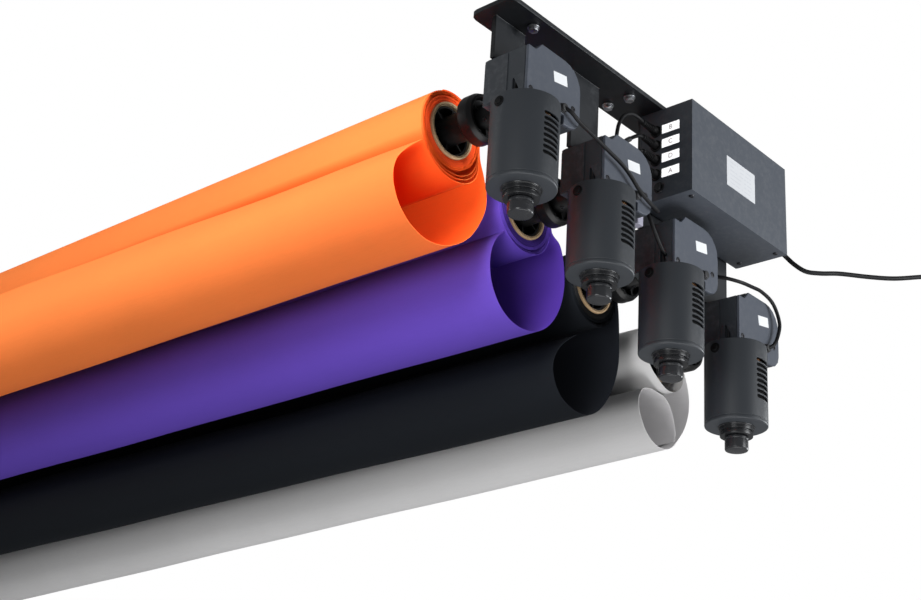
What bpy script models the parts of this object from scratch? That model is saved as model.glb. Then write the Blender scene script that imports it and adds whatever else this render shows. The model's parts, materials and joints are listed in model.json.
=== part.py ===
"""Motorised ceiling carrier for four rolls of background paper.

Millimetres in the constants below, metres in the scene, +Z up.
X runs along the rolls (the motors are at the +X end), Y runs back across the four rolls.
The origin is the centre of the drive bracket's ceiling face.
Pieces of unit 1, the frontmost and highest, are copied along the pitch for the other units.
"""
import math

import bmesh
import bpy
from mathutils import Matrix, Vector

MM = 0.001

# ---- driving dimensions -------------------------------------------------
UNITS = 4
PITCH_Y, PITCH_Z = 114.0, -38.2        # each unit sits further back and lower

MODULE, TEETH = 2.0, 21
WORM_R, WHEEL_R = 5.0, MODULE * TEETH / 2   # pitch radii
LEAD = math.pi * MODULE                # single-start worm

CAN_X, CAN_Y, CAN_Z = 18.6, -172.0, -181.7   # motor axis and can floor, unit 1
CAN_R, CAN_H, CAN_WALL = 31.2, 83.4, 2.0
CAN_TURN = math.radians(5)             # the can's facets and slots are turned about its axis
MOTOR_AXIS = (CAN_X, CAN_Y)
CAN_ORIGIN = (CAN_X, CAN_Y, CAN_Z)

ROLL_Y, ROLL_Z = CAN_Y + WORM_R + WHEEL_R, CAN_Z + 109.0   # roll axis, unit 1
ROLL_AXIS = (ROLL_Y, ROLL_Z)
ROLL_ORIGIN = (0, ROLL_Y, ROLL_Z)

PLATE_W, PLATE_L, PLATE_T, PLATE_CORNER = 50.0, 412.0, 5.0, 8.0
ARM_X = (-8.1, -3.1)
ARM_TOP = -4.0                         # the arms run up into the ceiling plates
IDLE_X, IDLE_ARM_T = -1470.0, 5.0
SHAFT_BORE_R = 8.3                     # clearance round the output shaft

CORE_R, CORE_BORE_R = 28.5, 25.4       # 57 mm outside, 50.8 mm bore
CORE_X = (-1443.4, -93.4)
PAPER_X = (-1441.8, -95.0)
PAPER_R = (40.7, 40.2, 39.6, 31.0)     # outside of each roll
PAPER_GAP = 0.6                        # between core and roll
SHEET = 0.8

BOX_X, BOX_Y, BOX_Z = (0.4, 60.0), (29.0, 205.3), (-105.7, -5.3)   # outside of the shell
BOX_WALL = 1.5
BOX_ORIGIN_Y, BOX_ORIGIN_Z = 117.0, -55.5
BUTTON_X, BUTTON_Z = 21.9, -92.8

# (x, y) of the ceiling bolts and of the holes in the idle bracket
BOLTS = ((12.0, -159.0), (-16.0, -159.0), (12.0, -9.0), (-14.0, -9.0), (-16.0, 159.0))
IDLE_HOLES = [(IDLE_X + x, y) for x in (-15.0, 15.0) for y in (-159.0, -9.0, 159.0)]

# ---- loose paper ends ---------------------------------------------------
# (y, z) from the roll axis at the drive end, one list per roll
LOOPS = (
    [(43, -12), (50, -28), (55, -45), (55, -60), (47, -80), (35, -98), (18, -112), (-2, -121),
     (-24, -123), (-47, -115), (-64, -98), (-71, -78), (-68, -60), (-57, -45), (-46, -34),
     (-37, -26)],
    [(43, -6), (53, -14), (59, -35), (60, -60), (55, -85), (42, -106), (20, -120), (-6, -123),
     (-28, -115), (-43, -97), (-49, -75), (-48, -56), (-43, -42), (-36, -30)],
    [(43, -8), (46, -25), (47, -45), (45, -70), (38, -98), (24, -120), (4, -135), (-16, -140),
     (-34, -135), (-46, -121), (-50, -104), (-49, -88), (-44, -75), (-36, -63)],
    [(38, 17), (48, 4), (55, -8), (61, -24), (62, -42), (56, -62), (44, -80), (26, -97),
     (4, -101), (-17, -91), (-30, -71), (-31, -57), (-25, -46), (-13, -41.5), (4, -41.5),
     (17, -43.5), (26, -51), (32, -62), (35.5, -73), (36, -80)],
)
# the loops hang deeper at the idle end: factor on the drop below the first point
IDLE_DEPTH = (1.07, 1.10, 1.19, 1.44)
# the first sheet's free edge also climbs the roll there: its last three points
FIRST_IDLE_TAIL = [(-60, -38), (-52, -22), (-45, -4)]

# ---- leads --------------------------------------------------------------
PLUG_X = 18.0
PLUG_TOP_Z, PLUG_PITCH = -29.0, 16.2   # four plugs in a column on the box's front face
PLUG_LEAD_Y = 8.0                      # where a lead starts, inside its plug
LEAD_R, MAINS_R = 2.0, 2.4

# one row per motor: plug counted from the top, whether the lead ends in a collar
# at its gear cover, and its (x, y, z) points after the plug
MOTOR_LEADS = (
    (3, True, [
        (18, 2, -78.4), (17.5, 0.5, -84), (19, 3, -95), (22, 6, -110), (30, 6.5, -125),
        (38.5, 3, -134), (41.5, -9, -134.5), (41.8, -22, -131), (42, -34, -126),
        (42.3, -47, -118.5), (42.5, -60, -113.5), (42.5, -83, -108.5), (42.5, -106, -103.5),
        (42.5, -126, -99.5), (42, -137, -95), (38.5, -142, -91.7)]),
    (0, False, [
        (18, 0, -27.5), (17, -11, -27.5), (16, -22, -34), (15, -29, -46), (14.5, -31.5, -58),
        (14, -32.5, -70), (14, -33, -79.0)]),
    (2, False, [
        (17, 2, -62.5), (12, 0, -71), (9, 2, -85), (9, 6, -98), (13, 9, -110), (20, 8, -121),
        (26, 6, -133), (28, 12, -146), (27, 22, -155), (26, 29.5, -160.5),
        (25.5, 35.5, -163.5)]),
    (1, True, [
        (17, 0, -46.5), (10, -7, -52), (0, -10, -60), (-12, -8, -72), (-15.5, 0, -88),
        (-15.5, 15, -104), (-15, 40, -115), (-15, 75, -121), (-14.5, 101, -126),
        (-2, 116, -138), (18, 123, -149), (34, 130, -154), (41.5, 143, -155),
        (42, 164, -152.5), (42, 184, -151), (42.5, 205, -157), (43.5, 215, -175),
        (43, 212, -190), (42, 205, -202), (38.5, 200, -206.3)]),
)
MAINS_X, MAINS_Y, MAINS_Z = 50.0, 205.6, -97.0   # where the mains cable leaves the box
MAINS_PATH = [
    (MAINS_X, 210, MAINS_Z), (51, 218, -100), (58, 224, -109), (66, 232, -115.5),
    (75, 245, -115), (86, 265, -110.5), (105, 297, -107), (120, 322, -103), (137, 352, -94)]

# base colour, roughness, metallic
FINISHES = {
    "steel_black": ((0.035, 0.037, 0.042), 0.45, 0.6),
    "cover_grey": ((0.06, 0.065, 0.075), 0.45, 0.5),
    "can_black": ((0.03, 0.032, 0.036), 0.4, 0.5),
    "rotor_iron": ((0.3, 0.28, 0.26), 0.45, 1.0),
    "knob_black": ((0.02, 0.02, 0.022), 0.5, 0.0),
    "hub_black": ((0.012, 0.012, 0.013), 0.35, 0.0),
    "card": ((0.62, 0.44, 0.26), 0.85, 0.0),
    "bronze": ((0.55, 0.36, 0.15), 0.35, 1.0),
    "cable_black": ((0.01, 0.01, 0.011), 0.5, 0.0),
    "box_grey": ((0.07, 0.075, 0.085), 0.45, 0.4),
    "board_green": ((0.03, 0.16, 0.07), 0.5, 0.0),
    "zinc": ((0.6, 0.6, 0.6), 0.35, 1.0),
    "paper_1": ((0.85, 0.17, 0.03), 0.85, 0.0),
    "paper_2": ((0.06, 0.025, 0.28), 0.85, 0.0),
    "paper_3": ((0.006, 0.006, 0.007), 0.85, 0.0),
    "paper_4": ((0.72, 0.70, 0.69), 0.85, 0.0),
}


# ---- outlines -----------------------------------------------------------
def on_axis(axis, along, first, second):
    """Point with `along` on the named axis and the others on the next two in cyclic order."""
    return {"X": (along, first, second),
            "Y": (second, along, first),
            "Z": (first, second, along)}[axis]


def polar(centre, radius, angle):
    return (centre[0] + radius * math.cos(angle), centre[1] + radius * math.sin(angle))


def circle(centre, radius, segments, turn=0.0):
    return [polar(centre, radius, turn + 2 * math.pi * k / segments) for k in range(segments)]


def arc(centre, radius, start, end, segments):
    """Points from one angle to another, in degrees, both ends included."""
    return [polar(centre, radius, math.radians(start + (end - start) * k / segments))
            for k in range(segments + 1)]


def shifted(points, first, second):
    return [(p + first, q + second) for p, q in points]


def ring_profile(lo, hi, inner, outer):
    return [(lo, inner), (lo, outer), (hi, outer), (hi, inner)]


def roll_axis(k):
    """y, z of the roll axis of the unit with index k."""
    return ROLL_Y + PITCH_Y * k, ROLL_Z + PITCH_Z * k


def can_place(k):
    """y, z of the motor axis and can floor of the unit with index k."""
    return CAN_Y + PITCH_Y * k, CAN_Z + PITCH_Z * k


# ---- solids -------------------------------------------------------------
def solid(verts, faces):
    """A closed mesh object from millimetre points, its faces turned outwards."""
    mesh = bpy.data.meshes.new("tmp")
    mesh.from_pydata([Vector(v) * MM for v in verts], [], faces)
    bm = bmesh.new()
    bm.from_mesh(mesh)
    bmesh.ops.recalc_face_normals(bm, faces=bm.faces)
    bm.to_mesh(mesh)
    bm.free()
    obj = bpy.data.objects.new("tmp", mesh)
    bpy.context.scene.collection.objects.link(obj)
    return obj


def skin(verts, size):
    """Closes a row of equal rings of `size` points into one solid."""
    last = len(verts) - size
    faces = [tuple(range(size))[::-1], tuple(range(last, last + size))]
    for start in range(0, last, size):
        for k in range(size):
            a, b = start + k, start + (k + 1) % size
            faces.append((a, b, b + size, a + size))
    return solid(verts, faces)


def prism(axis, outline, lo, hi):
    return skin([on_axis(axis, end, *p) for end in (lo, hi) for p in outline], len(outline))


def box(x0, x1, y0, y1, z0, z1):
    return prism("Z", [(x0, y0), (x1, y0), (x1, y1), (x0, y1)], z0, z1)


def rod(axis, centre, radius, lo, hi, segments=16):
    return prism(axis, circle(centre, radius, segments), lo, hi)


def revolve(axis, centre, profile, segments, turn=0.0):
    """Turns (along, radius) points about an axis.

    Points of radius 0 close the ends; a profile that starts off the axis closes on itself.
    """
    verts, rings = [], []
    for along, radius in profile:
        points = circle(centre, radius, segments, turn) if radius else [centre]
        rings.append(range(len(verts), len(verts) + len(points)))
        verts += [on_axis(axis, along, *p) for p in points]
    pairs = list(zip(rings, rings[1:]))
    if profile[0][1]:
        pairs.append((rings[-1], rings[0]))
    faces = []
    for low, high in pairs:
        for k in range(segments):
            j = (k + 1) % segments
            face = [low[k % len(low)], low[j % len(low)], high[j % len(high)], high[k % len(high)]]
            face = list(dict.fromkeys(face))   # a quad at an end point becomes a triangle
            if len(face) > 2:
                faces.append(face)
    return solid(verts, faces)


def tangent(path, i):
    return (path[min(i + 1, len(path) - 1)] - path[max(i - 1, 0)]).normalized()


def cable(points, radius):
    """A five-sided tube through the points."""
    sides = 5
    path = [Vector(p) for p in points]
    side = tangent(path, 0).orthogonal()
    verts = []
    for i, p in enumerate(path):
        along = tangent(path, i)
        side = (side - along * side.dot(along)).normalized()
        up = along.cross(side)
        verts += [p + radius * (math.cos(angle) * side + math.sin(angle) * up)
                  for angle in (2 * math.pi * k / sides for k in range(sides))]
    return skin(verts, sides)


def sheet(end_lines, lo, hi, thick):
    """A bent sheet along X between two middle lines in Y, Z, one for each end."""
    verts = []
    for x, points in zip((lo, hi), end_lines):
        path = [Vector(p) for p in points]
        for i, p in enumerate(path):
            along = tangent(path, i)
            side = Vector((-along.y, along.x)) * thick / 2
            verts += [(x, *(p + side)), (x, *(p - side))]
    m = len(verts) // 2                # index of the second end's first point
    faces = []
    for a in range(0, m - 2, 2):
        faces += [(a, a + 1, a + 3, a + 2), (m + a, m + a + 2, m + a + 3, m + a + 1),
                  (a, a + 2, m + a + 2, m + a), (a + 1, m + a + 1, m + a + 3, a + 3)]
    faces += [(0, m, m + 1, 1), (m - 2, m - 1, 2 * m - 1, 2 * m - 2)]
    return solid(verts, faces)


def combine(target, others, operation):
    """Boolean with each of the others in turn, which are then removed."""
    for other in others:
        mod = target.modifiers.new("b", "BOOLEAN")
        mod.operation = operation
        mod.solver = "EXACT"
        mod.object = other
        bpy.context.view_layer.update()
        graph = bpy.context.evaluated_depsgraph_get()
        mesh = bpy.data.meshes.new_from_object(target.evaluated_get(graph))
        target.modifiers.clear()
        target.data = mesh
        bpy.data.objects.remove(other, do_unlink=True)


def join(target, others):
    combine(target, others, "UNION")


def cut(target, others):
    combine(target, others, "DIFFERENCE")


# ---- finishing ----------------------------------------------------------
def material(name, kind):
    rgb, roughness, metallic = FINISHES[kind]
    mat = bpy.data.materials.new(name)
    mat.use_nodes = True
    shader = mat.node_tree.nodes["Principled BSDF"]
    shader.inputs["Base Color"].default_value = (*rgb, 1)
    shader.inputs["Roughness"].default_value = roughness
    shader.inputs["Metallic"].default_value = metallic
    mat.diffuse_color = (*rgb, 1)
    return mat


def finish(obj, name, kind, origin, sharp_angle=35):
    """Names the piece, gives it its own material and puts its origin at the given point."""
    obj.name = obj.data.name = name
    obj.data.materials.clear()
    obj.data.materials.append(material(name, kind))
    where = Vector(origin) * MM
    obj.data.transform(Matrix.Translation(-where))
    obj.location = where
    for poly in obj.data.polygons:
        poly.use_smooth = True
    obj.data.set_sharp_from_angle(angle=math.radians(sharp_angle))


def finish_units(obj, stem, kind, origin):
    """Finishes unit 1's piece and copies it, with its material, to the other units."""
    finish(obj, f"{stem}_1", kind, origin)
    for k in range(1, UNITS):
        copy = obj.copy()
        copy.data = obj.data.copy()
        copy.name = copy.data.name = f"{stem}_{k + 1}"
        mat = obj.data.materials[0].copy()
        mat.name = copy.name
        copy.data.materials[0] = mat
        copy.location = obj.location + Vector((0, PITCH_Y * k, PITCH_Z * k)) * MM
        bpy.context.scene.collection.objects.link(copy)


# ---- gearbox ------------------------------------------------------------
GEAR_FRONT, GEAR_BOTTOM, GEAR_TOP = -20.5, 84.0, 131.5   # from motor axis and can floor


def gear_outline():
    points = [(GEAR_FRONT, GEAR_BOTTOM), (32.0, GEAR_BOTTOM), (32.0, 75.0)]
    points += arc((41.0, 89.0), 14.0, -90, 0, 3)
    points += arc((31.0, 116.5), 24.0, 0, 90, 5)
    points += [(-2.0, 140.5), (-8.5, 133.0), (-11.0, GEAR_TOP), (GEAR_FRONT, GEAR_TOP)]
    return shifted(points, CAN_Y, CAN_Z)


def worm_block():
    """Block round the worm, past the arm's front edge; its top corner on -X is rounded."""
    outer_x, inner_x, corner = -14.4, -1.0, 4.0
    bottom, top = CAN_Z + GEAR_BOTTOM, CAN_Z + GEAR_TOP
    outline = [(bottom, outer_x), (bottom, inner_x), (top, inner_x)]
    outline += arc((top - corner, outer_x + corner), corner, 0, -90, 3)
    return prism("Y", outline, CAN_Y + GEAR_FRONT, CAN_Y - 6.5)


def gear_housing():
    housing = prism("X", gear_outline(), -2.8, 32.6)
    join(housing, [worm_block()])
    wheel_chamber = rod("X", ROLL_AXIS, 23.2, 7.0, 40.0, 24)
    worm_tunnel = rod("Z", MOTOR_AXIS, 7.6, CAN_Z + 78.0, CAN_Z + 127.0, 12)
    shaft_bore = rod("X", ROLL_AXIS, SHAFT_BORE_R, -10.0, 10.0)
    lead_recess = box(19.5, 31.5, CAN_Y - 24.0, CAN_Y - 17.5, CAN_Z + 86.5, CAN_Z + 104.0)
    cut(housing, [wheel_chamber, worm_tunnel, shaft_bore, lead_recess])
    finish_units(housing, "gear_housing", "steel_black", CAN_ORIGIN)


def gear_cover():
    inside, outside = 32.9, 36.3
    cover = prism("X", gear_outline(), inside, outside)
    finish_units(cover, "gear_cover", "cover_grey", (outside, *ROLL_AXIS))


def worm_wheel():
    """Toothed wheel, twisted to the worm's lead, with its output shaft."""
    half_width, root_r, tip_r, tip_half = 4.0, 17.6, 22.4, 0.5
    # root midway before each tooth, then the two corners of its tip
    corners = ((root_r, -math.pi / TEETH), (tip_r, -tip_half / tip_r), (tip_r, tip_half / tip_r))
    verts = []
    for along in (-half_width, half_width):
        twist = along * LEAD / (2 * math.pi * WORM_R) / WHEEL_R
        for k in range(TEETH):
            middle = math.pi + (k + 0.5) * 2 * math.pi / TEETH + twist
            verts += [(CAN_X + along, *polar(ROLL_AXIS, radius, middle + turn))
                      for radius, turn in corners]
    wheel = skin(verts, len(corners) * TEETH)
    shaft_r, boss_r = 8.0, 12.0
    shaft = revolve("X", ROLL_AXIS, [
        (-66.0, 0), (-66.0, shaft_r), (9.0, shaft_r), (9.0, boss_r),
        (28.5, boss_r), (28.5, shaft_r), (32.4, shaft_r), (32.4, 0)], 14)
    join(wheel, [shaft])
    finish_units(wheel, "worm_wheel", "bronze", ROLL_ORIGIN)


# ---- motor --------------------------------------------------------------
def motor_can():
    neck_bore, inner_r, floor_top = 4.4, CAN_R - CAN_WALL, 3.0
    profile = [(-10.0, neck_bore), (-10.0, 15.5), (0, 17.2), (0, CAN_R), (CAN_H, CAN_R),
               (CAN_H, inner_r), (floor_top, inner_r), (floor_top, neck_bore)]
    can = revolve("Z", MOTOR_AXIS, shifted(profile, CAN_Z, 0), 20, CAN_TURN)
    # eight slots one above another on the +X side, and a round hole in the front
    slot_z, slot_height, slot_pitch = CAN_Z + 27.2, 2.7, 5.5
    cuts = []
    for k in range(8):
        bottom = slot_z + slot_pitch * k
        slot = box(25.0, 34.0, -9.4, 9.4, bottom, bottom + slot_height)
        slot.data.transform(Matrix.Rotation(CAN_TURN, 4, "Z"))
        slot.data.transform(Matrix.Translation(Vector((CAN_X, CAN_Y, 0)) * MM))
        cuts.append(slot)
    cuts.append(rod("Y", (CAN_Z + 75.0, CAN_X - 4.0), 4.2, CAN_Y - 36.0, CAN_Y - 24.0, 8))
    cut(can, cuts)
    finish_units(can, "motor_can", "can_black", CAN_ORIGIN)


def worm_thread():
    steps, per_turn = 20, 8
    section = ((2.4, -1.5), (6.6, -0.7), (6.6, 0.7), (2.4, 1.5))   # radius, height
    verts = []
    for step in range(steps + 1):
        turns = (step - steps / 2) / per_turn
        angle = 2 * math.pi * turns + math.pi / 2
        verts += [(*polar(MOTOR_AXIS, radius, angle), ROLL_Z + LEAD * turns + height)
                  for radius, height in section]
    thread = skin(verts, len(section))
    # the helical faces are not flat, so they are split before the boolean
    bm = bmesh.new()
    bm.from_mesh(thread.data)
    bmesh.ops.triangulate(bm, faces=bm.faces)
    bm.to_mesh(thread.data)
    bm.free()
    return thread


def rotor_worm():
    tail_r, rotor_r, worm_core_r = 3.9, 26.0, 3.2
    profile = [(-21.0, 0), (-21.0, tail_r), (14.0, tail_r), (14.0, rotor_r), (66.0, rotor_r),
               (66.0, tail_r), (92.0, worm_core_r), (125.5, worm_core_r), (125.5, 0)]
    rotor = revolve("Z", MOTOR_AXIS, shifted(profile, CAN_Z, 0), 12)
    join(rotor, [worm_thread()])
    finish_units(rotor, "rotor_worm", "rotor_iron", CAN_ORIGIN)


def tail_knob():
    top, knob_r, bore_r = -10.6, 11.5, 4.3
    profile = [(-24.0, 0), (-24.0, knob_r), (top, knob_r), (top, bore_r), (-22.0, bore_r),
               (-22.0, 0)]
    knob = revolve("Z", MOTOR_AXIS, shifted(profile, CAN_Z, 0), 16)
    finish_units(knob, "tail_knob", "knob_black", (CAN_X, CAN_Y, CAN_Z + top))


# ---- rolls --------------------------------------------------------------
def roll_holders():
    hub = revolve("X", ROLL_AXIS, [
        (-165.0, 0), (-165.0, 24.0), (-98.0, 25.1), (-98.0, 14.0), (-68.0, 14.0),
        (-68.0, 24.5), (-49.0, 24.5), (-49.0, 12.0), (-36.0, 12.0), (-36.0, SHAFT_BORE_R),
        (-67.0, SHAFT_BORE_R), (-67.0, 0)], 18)
    finish_units(hub, "drive_hub", "hub_black", ROLL_ORIGIN)
    plug = revolve("X", ROLL_AXIS, [
        (-1478.0, 0), (-1478.0, 9.0), (-1447.5, 9.0), (-1447.5, 31.0), (-1443.8, 31.0),
        (-1443.8, 25.1), (-1380.0, 24.0), (-1380.0, 0)], 18)
    finish_units(plug, "idle_plug", "hub_black", ROLL_ORIGIN)


def core():
    card_tube = revolve("X", ROLL_AXIS, ring_profile(*CORE_X, CORE_BORE_R, CORE_R), 24)
    finish_units(card_tube, "core", "card", ROLL_ORIGIN)


def paper(k):
    """Wound roll and loose end of the unit with index k."""
    centre = roll_axis(k)
    kind = f"paper_{k + 1}"
    profile = ring_profile(*PAPER_X, CORE_R + PAPER_GAP, PAPER_R[k])
    finish(revolve("X", centre, profile, 28), f"paper_roll_{k + 1}", kind, (0, *centre))

    top = LOOPS[k][0][1]
    idle_line = [(y, top + (z - top) * IDLE_DEPTH[k]) for y, z in LOOPS[k]]
    if k == 0:
        idle_line[-3:] = FIRST_IDLE_TAIL
    lines = [shifted(line, *centre) for line in (idle_line, LOOPS[k])]
    loose_end = sheet(lines, *PAPER_X, SHEET)
    finish(loose_end, f"paper_end_{k + 1}", kind, (0, *centre), sharp_angle=60)


# ---- brackets -----------------------------------------------------------
def bracket(name, mid_x, arms, cuts, holes):
    """Ceiling plate with rounded corners, joined to its arms, then cut and drilled."""
    x = PLATE_W / 2 - PLATE_CORNER
    y = PLATE_L / 2 - PLATE_CORNER
    outline = []
    for k, (dx, dy) in enumerate(((x, y), (-x, y), (-x, -y), (x, -y))):
        outline += arc((mid_x + dx, dy), PLATE_CORNER, 90 * k, 90 * k + 90, 3)
    plate = prism("Z", outline, -PLATE_T, 0.0)
    join(plate, arms)
    cut(plate, cuts + [rod("Z", hole, 3.5, -8.0, 3.0, 8) for hole in holes])
    finish(plate, name, "steel_black", (mid_x, 0, 0))


def drive_bracket():
    arms, bores = [], []
    for k in range(UNITS):
        y, z = can_place(k)
        outline = shifted([(-5.8, 84.5), (42.0, 84.5), (49.0, 97.0), (49.0, 121.0),
                           (42.0, 131.0), (20.0, 152.0)], y, z)
        outline += [(y + 20.0, ARM_TOP), (y - 22.0, ARM_TOP),
                    (y - 22.0, z + 132.2), (y - 5.8, z + 132.2)]
        arms.append(prism("X", outline, *ARM_X))
        bores.append(rod("X", roll_axis(k), SHAFT_BORE_R, -12.0, 2.0))
    bracket("drive_bracket", 0, arms, bores, BOLTS)


def idle_bracket():
    """Each arm has a round seat with a slot rising from it at 45 degrees to the front."""
    arm_half, foot_half, slot_half, slot_length = 21.0, 12.0, 9.2, 48.0
    cut_x = (IDLE_X - 6, IDLE_X + 6)
    arms, cuts = [], []
    for k in range(UNITS):
        y, z = roll_axis(k)
        outline = [(y - arm_half, ARM_TOP), (y - arm_half, z - foot_half),
                   (y - foot_half, z - arm_half), (y + foot_half, z - arm_half),
                   (y + arm_half, z - foot_half), (y + arm_half, ARM_TOP)]
        arms.append(prism("X", outline, IDLE_X - IDLE_ARM_T / 2, IDLE_X + IDLE_ARM_T / 2))
        seat = Vector((y, z))
        mouth = seat + Vector((-1, 1)).normalized() * slot_length
        across = Vector((1, 1)).normalized() * slot_half
        slot = [tuple(p) for p in (seat - across, seat + across, mouth + across, mouth - across)]
        cuts += [rod("X", (y, z), 9.6, *cut_x), prism("X", slot, *cut_x)]
    bracket("idle_bracket", IDLE_X, arms, cuts, IDLE_HOLES)


def ceiling_bolt(name, place):
    """Washer and shank in one, with a six-sided head below."""
    washer_r, shank_r, washer_top = 5.9, 3.0, -5.3
    bolt = revolve("Z", place, [
        (-7.0, 0), (-7.0, washer_r), (washer_top, washer_r), (washer_top, shank_r),
        (-0.6, shank_r), (-0.6, 0)], 10)
    join(bolt, [rod("Z", place, 4.9, -10.6, -6.5, 6)])
    finish(bolt, name, "zinc", (*place, -PLATE_T))


# ---- control box --------------------------------------------------------
def box_shell():
    """Shell open on its -X side, with a round button hole in the front."""
    shell = box(*BOX_X, *BOX_Y, *BOX_Z)
    cavity = box(BOX_X[0] - 5, BOX_X[1] - BOX_WALL, BOX_Y[0] + BOX_WALL, BOX_Y[1] - BOX_WALL,
                 BOX_Z[0] + BOX_WALL, BOX_Z[1] - BOX_WALL)
    hole = rod("Y", (BUTTON_Z, BUTTON_X), 4.4, BOX_Y[0] - 3, BOX_Y[0] + 4, 20)
    cut(shell, [cavity, hole])
    finish(shell, "box_shell", "box_grey", (30.0, BOX_ORIGIN_Y, BOX_ORIGIN_Z))


def box_back():
    """Plate that closes the shell's -X side."""
    back = box(BOX_X[0] - 1.8, BOX_X[0] - 0.3, *BOX_Y, *BOX_Z)
    finish(back, "box_back", "box_grey", (BOX_X[0], BOX_ORIGIN_Y, BOX_ORIGIN_Z))


def circuit_board():
    back_x, base_x = 8.0, 9.0          # the parts start inside the board's thickness
    board = box(back_x, 9.6, 42.0, 192.0, -98.0, -14.0)
    posts = [rod("X", (y, z), 3.0, BOX_X[0], 8.5, 8)
             for y in (48.0, 186.0) for z in (-92.0, -20.0)]
    row = [box(base_x, 24.0, 48.0 + 22 * k, 66.0 + 22 * k, -36.0, -20.0) for k in range(4)]
    parts = [
        box(base_x, 44.0, 140.0, 184.0, -92.0, -48.0),   # tall block
        box(base_x, 14.0, 70.0, 104.0, -74.0, -54.0),    # low block
        rod("X", (122.0, -70.0), 9.0, base_x, 36.0, 12),
        box(base_x, 18.0, 60.0, 128.0, -95.0, -84.0),    # long block at the lower edge
    ]
    join(board, posts + row + parts)
    finish(board, "circuit_board", "board_green", (back_x, BOX_ORIGIN_Y, BOX_ORIGIN_Z))


def pairing_button():
    front, stem_r, flange_r = 25.0, 3.9, 5.6
    button = revolve("Y", (BUTTON_Z, BUTTON_X), [
        (front, 0), (front, 3.3), (25.6, stem_r), (30.9, stem_r), (30.9, flange_r),
        (32.4, flange_r), (32.4, 0)], 12)
    finish(button, "pairing_button", "knob_black", (BUTTON_X, front, BUTTON_Z))


# ---- cables -------------------------------------------------------------
def motor_lead(k):
    plug, has_collar, path = MOTOR_LEADS[k]
    plug_z = PLUG_TOP_Z - PLUG_PITCH * plug
    start = (PLUG_X, PLUG_LEAD_Y, plug_z)
    lead = cable([start] + path, LEAD_R)
    ends = [revolve("Y", (plug_z, PLUG_X), [
        (28.7, 0), (28.7, 4.4), (19.0, 4.0), (5.5, 3.1), (5.5, 0)], 8)]
    if has_collar:
        y, z = can_place(k)
        ends.append(rod("X", (y + 30.0, z + 90.0), 4.2, 36.6, 40.0, 8))
    join(lead, ends)
    finish(lead, f"motor_lead_{k + 1}", "cable_black", start)


def mains_cable():
    mains = cable(MAINS_PATH, MAINS_R)
    sleeve = revolve("Y", (MAINS_Z, MAINS_X), [
        (MAINS_Y, 0), (MAINS_Y, 5.5), (208.5, 5.5), (216.0, 3.2), (216.0, 0)], 8)
    join(mains, [sleeve])
    finish(mains, "mains_cable", "cable_black", (MAINS_X, MAINS_Y, MAINS_Z))


# ---- build --------------------------------------------------------------
for old in list(bpy.data.objects):
    bpy.data.objects.remove(old, do_unlink=True)

for build in (gear_housing, gear_cover, worm_wheel, motor_can, rotor_worm, tail_knob,
              roll_holders, core, drive_bracket, idle_bracket,
              box_shell, box_back, circuit_board, pairing_button, mains_cable):
    build()
for unit in range(UNITS):
    paper(unit)
    motor_lead(unit)
for number, bolt_place in enumerate(BOLTS, 1):
    ceiling_bolt(f"ceiling_bolt_{number}", bolt_place)
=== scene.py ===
"""Looks for the motorised four-roll paper carrier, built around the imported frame.

The rolls lie along X, with their motors at the +X (drive) end; -Y is the front and +Z is up.
Motor parts are modelled on unit 1 and shifted to units 2, 3 and 4. Pieces are measured in
millimetres; the floor, lights, camera and texture depths are in metres.
"""
import json
import math

import bmesh
import bpy
import numpy as np
from mathutils import Matrix, Vector

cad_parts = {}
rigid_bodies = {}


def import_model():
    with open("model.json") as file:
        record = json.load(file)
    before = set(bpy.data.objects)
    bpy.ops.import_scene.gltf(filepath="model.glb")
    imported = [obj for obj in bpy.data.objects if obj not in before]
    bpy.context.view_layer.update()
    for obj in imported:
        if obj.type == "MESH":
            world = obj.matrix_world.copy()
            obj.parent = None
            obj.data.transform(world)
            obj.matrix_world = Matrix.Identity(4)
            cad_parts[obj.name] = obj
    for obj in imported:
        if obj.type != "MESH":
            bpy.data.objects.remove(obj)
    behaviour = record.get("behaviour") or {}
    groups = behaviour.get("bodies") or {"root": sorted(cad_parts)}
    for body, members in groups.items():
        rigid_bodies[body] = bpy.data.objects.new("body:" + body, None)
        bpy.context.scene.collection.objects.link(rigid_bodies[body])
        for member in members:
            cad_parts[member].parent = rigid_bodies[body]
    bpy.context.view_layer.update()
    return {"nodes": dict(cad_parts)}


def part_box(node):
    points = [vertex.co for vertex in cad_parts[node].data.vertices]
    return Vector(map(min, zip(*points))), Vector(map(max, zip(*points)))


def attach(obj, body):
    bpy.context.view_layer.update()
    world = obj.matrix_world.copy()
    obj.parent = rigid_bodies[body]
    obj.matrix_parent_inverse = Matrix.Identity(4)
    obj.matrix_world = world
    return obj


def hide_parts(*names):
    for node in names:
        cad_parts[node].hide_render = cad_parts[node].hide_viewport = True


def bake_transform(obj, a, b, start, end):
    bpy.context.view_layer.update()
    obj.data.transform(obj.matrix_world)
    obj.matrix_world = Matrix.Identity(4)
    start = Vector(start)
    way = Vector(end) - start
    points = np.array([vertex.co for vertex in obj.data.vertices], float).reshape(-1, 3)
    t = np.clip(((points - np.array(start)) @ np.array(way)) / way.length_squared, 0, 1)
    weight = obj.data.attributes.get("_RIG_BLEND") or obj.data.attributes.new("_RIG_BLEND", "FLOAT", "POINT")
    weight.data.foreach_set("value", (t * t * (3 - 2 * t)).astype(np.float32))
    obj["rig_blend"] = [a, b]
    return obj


for old in list(bpy.data.objects):
    bpy.data.objects.remove(old, do_unlink=True)

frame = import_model()
NODES = frame["nodes"]
MM = 0.001
UNITS = (1, 2, 3, 4)


def mm_box(node):
    low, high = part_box(node)
    return np.array(low) * 1000, np.array(high) * 1000


def per_unit(*values):
    return dict(zip(UNITS, values))


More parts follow.
